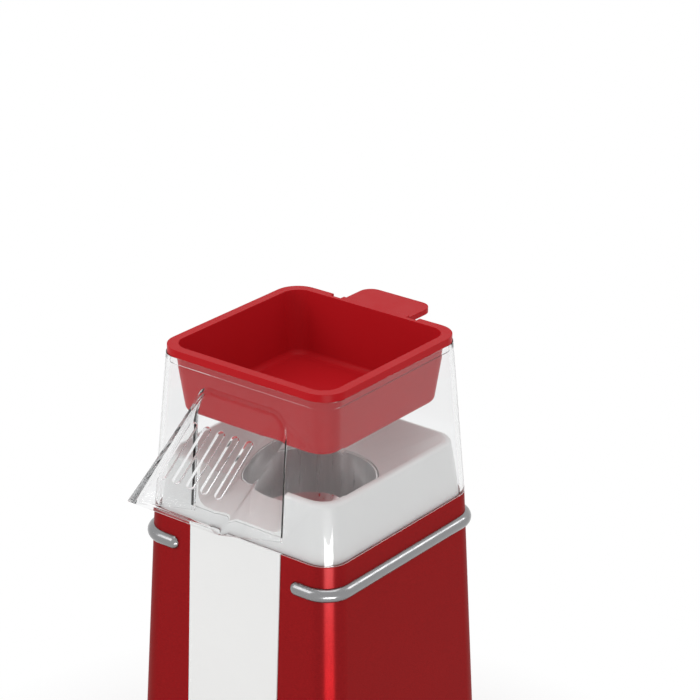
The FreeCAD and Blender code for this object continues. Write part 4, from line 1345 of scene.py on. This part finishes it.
@dataclass(frozen=True)
class Scoop(SubAssembly):
    """The red measuring scoop that rests on the hood."""

    bottom_half: float = 0.047
    top_half: float = 0.0512
    corner: float = 0.011
    wall: float = 0.002
    rim: float = 0.004
    floor_round: float = 0.003
    floor_steps: int = 5
    flange_half: float = 0.0542
    flange_corner: float = 0.013
    handle_half: float = 0.021
    handle_thick: float = 0.003
    handle_corner: float = 0.007
    handle_steps: int = 8
    rim_gap: float = 0.0065
    edge: float = 0.0007

    def build(self) -> None:
        """Make the scoop with its rim and its handle."""
        low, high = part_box("measuring_scoop")
        rim_z = high[2] - self.rim
        cup = Tower(self.bottom_half, self.top_half, self.corner, low[2], high[2], self.axis_y)
        scoop = self.soft_floor(cup.below(rim_z + self.rim / 2), "red_scoop")
        flange = Tower(self.flange_half, self.flange_half, self.flange_corner, rim_z, high[2], self.axis_y)
        join(scoop, flange.piece("scoop_rim"))
        carve(scoop, *self.rim_gaps(rim_z, high[2]))
        join(scoop, self.handle(rim_z, high[1]))
        dish = replace(cup.smaller(self.wall), low_z=cup.low_z + self.wall, high_z=cup.high_z + CLEAR)
        carve(scoop, self.soft_floor(dish, "scoop_dish"))
        soften(scoop, self.edge)
        self.fit(scoop, Body.SCOOP, Slot.RED_SCOOP, "measuring_scoop")

    def soft_floor(self, column: Tower, name: str) -> Piece:
        """A column with a rounded lower edge.

        Args:
            column: The column.
            name: The object's name.

        Returns:
            The closed form.
        """
        bm = column.solid()
        round_edges(bm, lambda e: at_level(e, column.low_z), self.floor_round, self.floor_steps)
        return to_piece(bm, name)

    def rim_gaps(self, rim_z: float, top_z: float) -> list[Piece]:
        """The gaps in the rim on both sides of the handle.

        Args:
            rim_z: The lower side of the rim.
            top_z: The upper side of the rim.

        Returns:
            The tools that cut them.
        """
        tools = []
        for side in (-1, 1):
            ends = sorted((side * self.handle_half, side * (self.handle_half + self.rim_gap)))
            gap = cuboid(
                (ends[0], self.axis_y + self.top_half + CLEAR, rim_z - OVER),
                (ends[1], self.axis_y + self.flange_half + OVER, top_z + OVER),
            )
            tools.append(to_piece(gap, "rim_gap"))
        return tools

    def handle(self, rim_z: float, end_y: float) -> Piece:
        """The flat handle with rounded outer corners.

        Args:
            rim_z: Its lower side.
            end_y: Its outer end.

        Returns:
            The closed form.
        """
        start_y = self.axis_y + self.top_half - self.wall / 2
        middle_y = (start_y + end_y) / 2
        bm = cuboid(
            (-self.handle_half, start_y, rim_z), (self.handle_half, end_y, rim_z + self.handle_thick)
        )
        round_edges(
            bm, lambda e: upright(e) and e.verts[0].co.y > middle_y, self.handle_corner, self.handle_steps
        )
        return to_piece(bm, "scoop_handle")


@dataclass(frozen=True)
class Switch(SubAssembly):
    """The rocker switch in the back wall."""

    edge: float = 0.0004

    def build(self) -> None:
        """Make the switch's frame and its rocker."""
        frame = self.rounded_copy("switch_frame", "switch_bezel", self.edge)
        self.fit(frame, Body.HOUSING, Slot.DARK_PLASTIC, "switch_frame")
        rocker = self.rounded_copy("switch_rocker", "switch_key", self.edge)
        self.fit(rocker, Body.ROCKER, Slot.DARK_PLASTIC, "switch_rocker")


# The studio


def turn_to(place: Vector, aim: Vector) -> Euler:
    """The turn of a lamp or a camera at one place that looks at another."""
    return (aim - place).to_track_quat("-Z", "Y").to_euler()


@dataclass(frozen=True)
class SoftLight:
    """A soft light that looks at the object."""

    name: str
    place: Triple
    width: float
    height: float
    watts: float
    gloss_only: bool = False

    def hang(self, aim: Vector) -> None:
        """Add the light to the scene.

        Args:
            aim: The point that it looks at.
        """
        data = bpy.data.lights.new(self.name, "AREA")
        data.shape = "RECTANGLE"
        data.size = self.width
        data.size_y = self.height
        data.energy = self.watts
        lamp = bpy.data.objects.new(self.name, data)
        lamp.location = self.place
        lamp.visible_camera = False
        lamp.visible_diffuse = not self.gloss_only
        lamp.visible_transmission = not self.gloss_only
        lamp.rotation_euler = turn_to(Vector(self.place), aim)
        bpy.context.scene.collection.objects.link(lamp)


@dataclass(frozen=True)
class Studio:
    """A white room with a pale floor, soft lights and the camera."""

    ambient: float = 0.82
    floor_half: float = 2.5
    floor_parts: int = 8
    floor_dark: Triple = (0.86, 0.86, 0.86)
    floor_light: Triple = (0.90, 0.90, 0.90)
    floor_roughness: float = 0.8
    floor_cloud: float = 6.0
    fade_start: float = 0.09
    fade_end: float = 0.24
    aim: Triple = (0.0, 0.0149, 0.27647)
    camera_place: Triple = (0.71449, -0.88118, 0.76699)
    lens: float = 128.58
    shift: Point = (0.0567, 0.0234)
    bounces: int = 32
    lights: tuple[SoftLight, ...] = (
        SoftLight("key_light", (-0.7, -1.1, 1.0), 0.8, 0.8, watts=4.8),
        SoftLight("corner_light", (0.445, -0.35, 0.035), 0.34, 0.06, watts=1.6, gloss_only=True),
        SoftLight("back_light", (0.75, 1.0, 1.0), 0.4, 0.4, watts=2.0, gloss_only=True),
        SoftLight("top_light", (0.1, 0.1, 1.5), 0.8, 0.8, watts=3.0),
    )

    def build(self) -> None:
        """Add the floor, the light and the camera."""
        self.lay_floor()
        self.light_room()
        for light in self.lights:
            light.hang(Vector(self.aim))
        self.set_camera()
        self.set_render()

    def lay_floor(self) -> None:
        """A pale floor that fades into the white of the room."""
        bm = bmesh.new()
        bmesh.ops.create_grid(
            bm, x_segments=self.floor_parts, y_segments=self.floor_parts, size=self.floor_half
        )
        floor = to_piece(bm, "floor")
        sheet = ShaderSheet("pale_floor")
        sheet.fix(roughness=self.floor_roughness)
        cloud = sheet.noise(self.floor_cloud)
        sheet.drive("Base Color", sheet.blend(cloud, self.floor_dark, self.floor_light))
        length = sheet.nodes.new("ShaderNodeVectorMath")
        length.operation = "LENGTH"
        sheet.links.new(sheet.coordinates.outputs["Object"], length.inputs[0])
        fade = sheet.nodes.new("ShaderNodeMapRange")
        fade.inputs["From Min"].default_value = self.fade_start
        fade.inputs["From Max"].default_value = self.fade_end
        sheet.links.new(length.outputs["Value"], fade.inputs["Value"])
        glow = sheet.nodes.new("ShaderNodeEmission")
        seen = seen_directly(sheet.tree)
        shown = combine_values(sheet.tree, "MULTIPLY", fade.outputs["Result"], seen)
        sheet.show_instead(shown, glow.outputs["Emission"])
        sheet.material.cycles.emission_sampling = "NONE"
        floor.data.materials.append(sheet.material)

    def light_room(self) -> None:
        """A room that looks white and gives a soft light."""
        world = bpy.data.worlds.new("white_room")
        bpy.context.scene.world = world
        world.use_nodes = True
        nodes, links = world.node_tree.nodes, world.node_tree.links
        nodes.clear()
        soft = nodes.new("ShaderNodeBackground")
        soft.inputs["Strength"].default_value = self.ambient
        white = nodes.new("ShaderNodeBackground")
        for shader in (soft, white):
            shader.inputs["Color"].default_value = (1.0, 1.0, 1.0, 1.0)
        mixed = nodes.new("ShaderNodeMixShader")
        output = nodes.new("ShaderNodeOutputWorld")
        links.new(seen_directly(world.node_tree), mixed.inputs["Fac"])
        links.new(soft.outputs["Background"], mixed.inputs[1])
        links.new(white.outputs["Background"], mixed.inputs[2])
        links.new(mixed.outputs["Shader"], output.inputs["Surface"])

    def set_camera(self) -> None:
        """The camera where the photograph was taken."""
        data = bpy.data.cameras.new("camera")
        data.lens = self.lens
        data.shift_x, data.shift_y = self.shift
        camera = bpy.data.objects.new("camera", data)
        camera.location = self.camera_place
        camera.rotation_euler = turn_to(camera.location, Vector(self.aim))
        bpy.context.scene.collection.objects.link(camera)
        bpy.context.scene.camera = camera

    def set_render(self) -> None:
        """Plain colours, and enough bounces for light inside the clear walls."""
        scene = bpy.context.scene
        scene.view_settings.view_transform = "Standard"
        scene.cycles.max_bounces = self.bounces
        scene.cycles.glossy_bounces = self.bounces
        scene.cycles.transmission_bounces = self.bounces


def main() -> None:
    """Dress the frame, light it and set the camera."""
    logging.basicConfig(level=logging.INFO)
    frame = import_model()
    paints = Paintbox()
    slots = {part["node"]: Slot(part["material_slot"]) for part in frame["record"]["subparts"]}
    for name, node in frame["nodes"].items():
        paints.paint(node, slots[name])
    low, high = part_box("outer_shell")
    axis_y = (low[1] + high[1]) / 2
    for kind in (Housing, Deck, Hood, Scoop, Switch):
        kind(paints, frame["nodes"], axis_y).build()
    Studio().build()


if __name__ == "__main__":
    main()
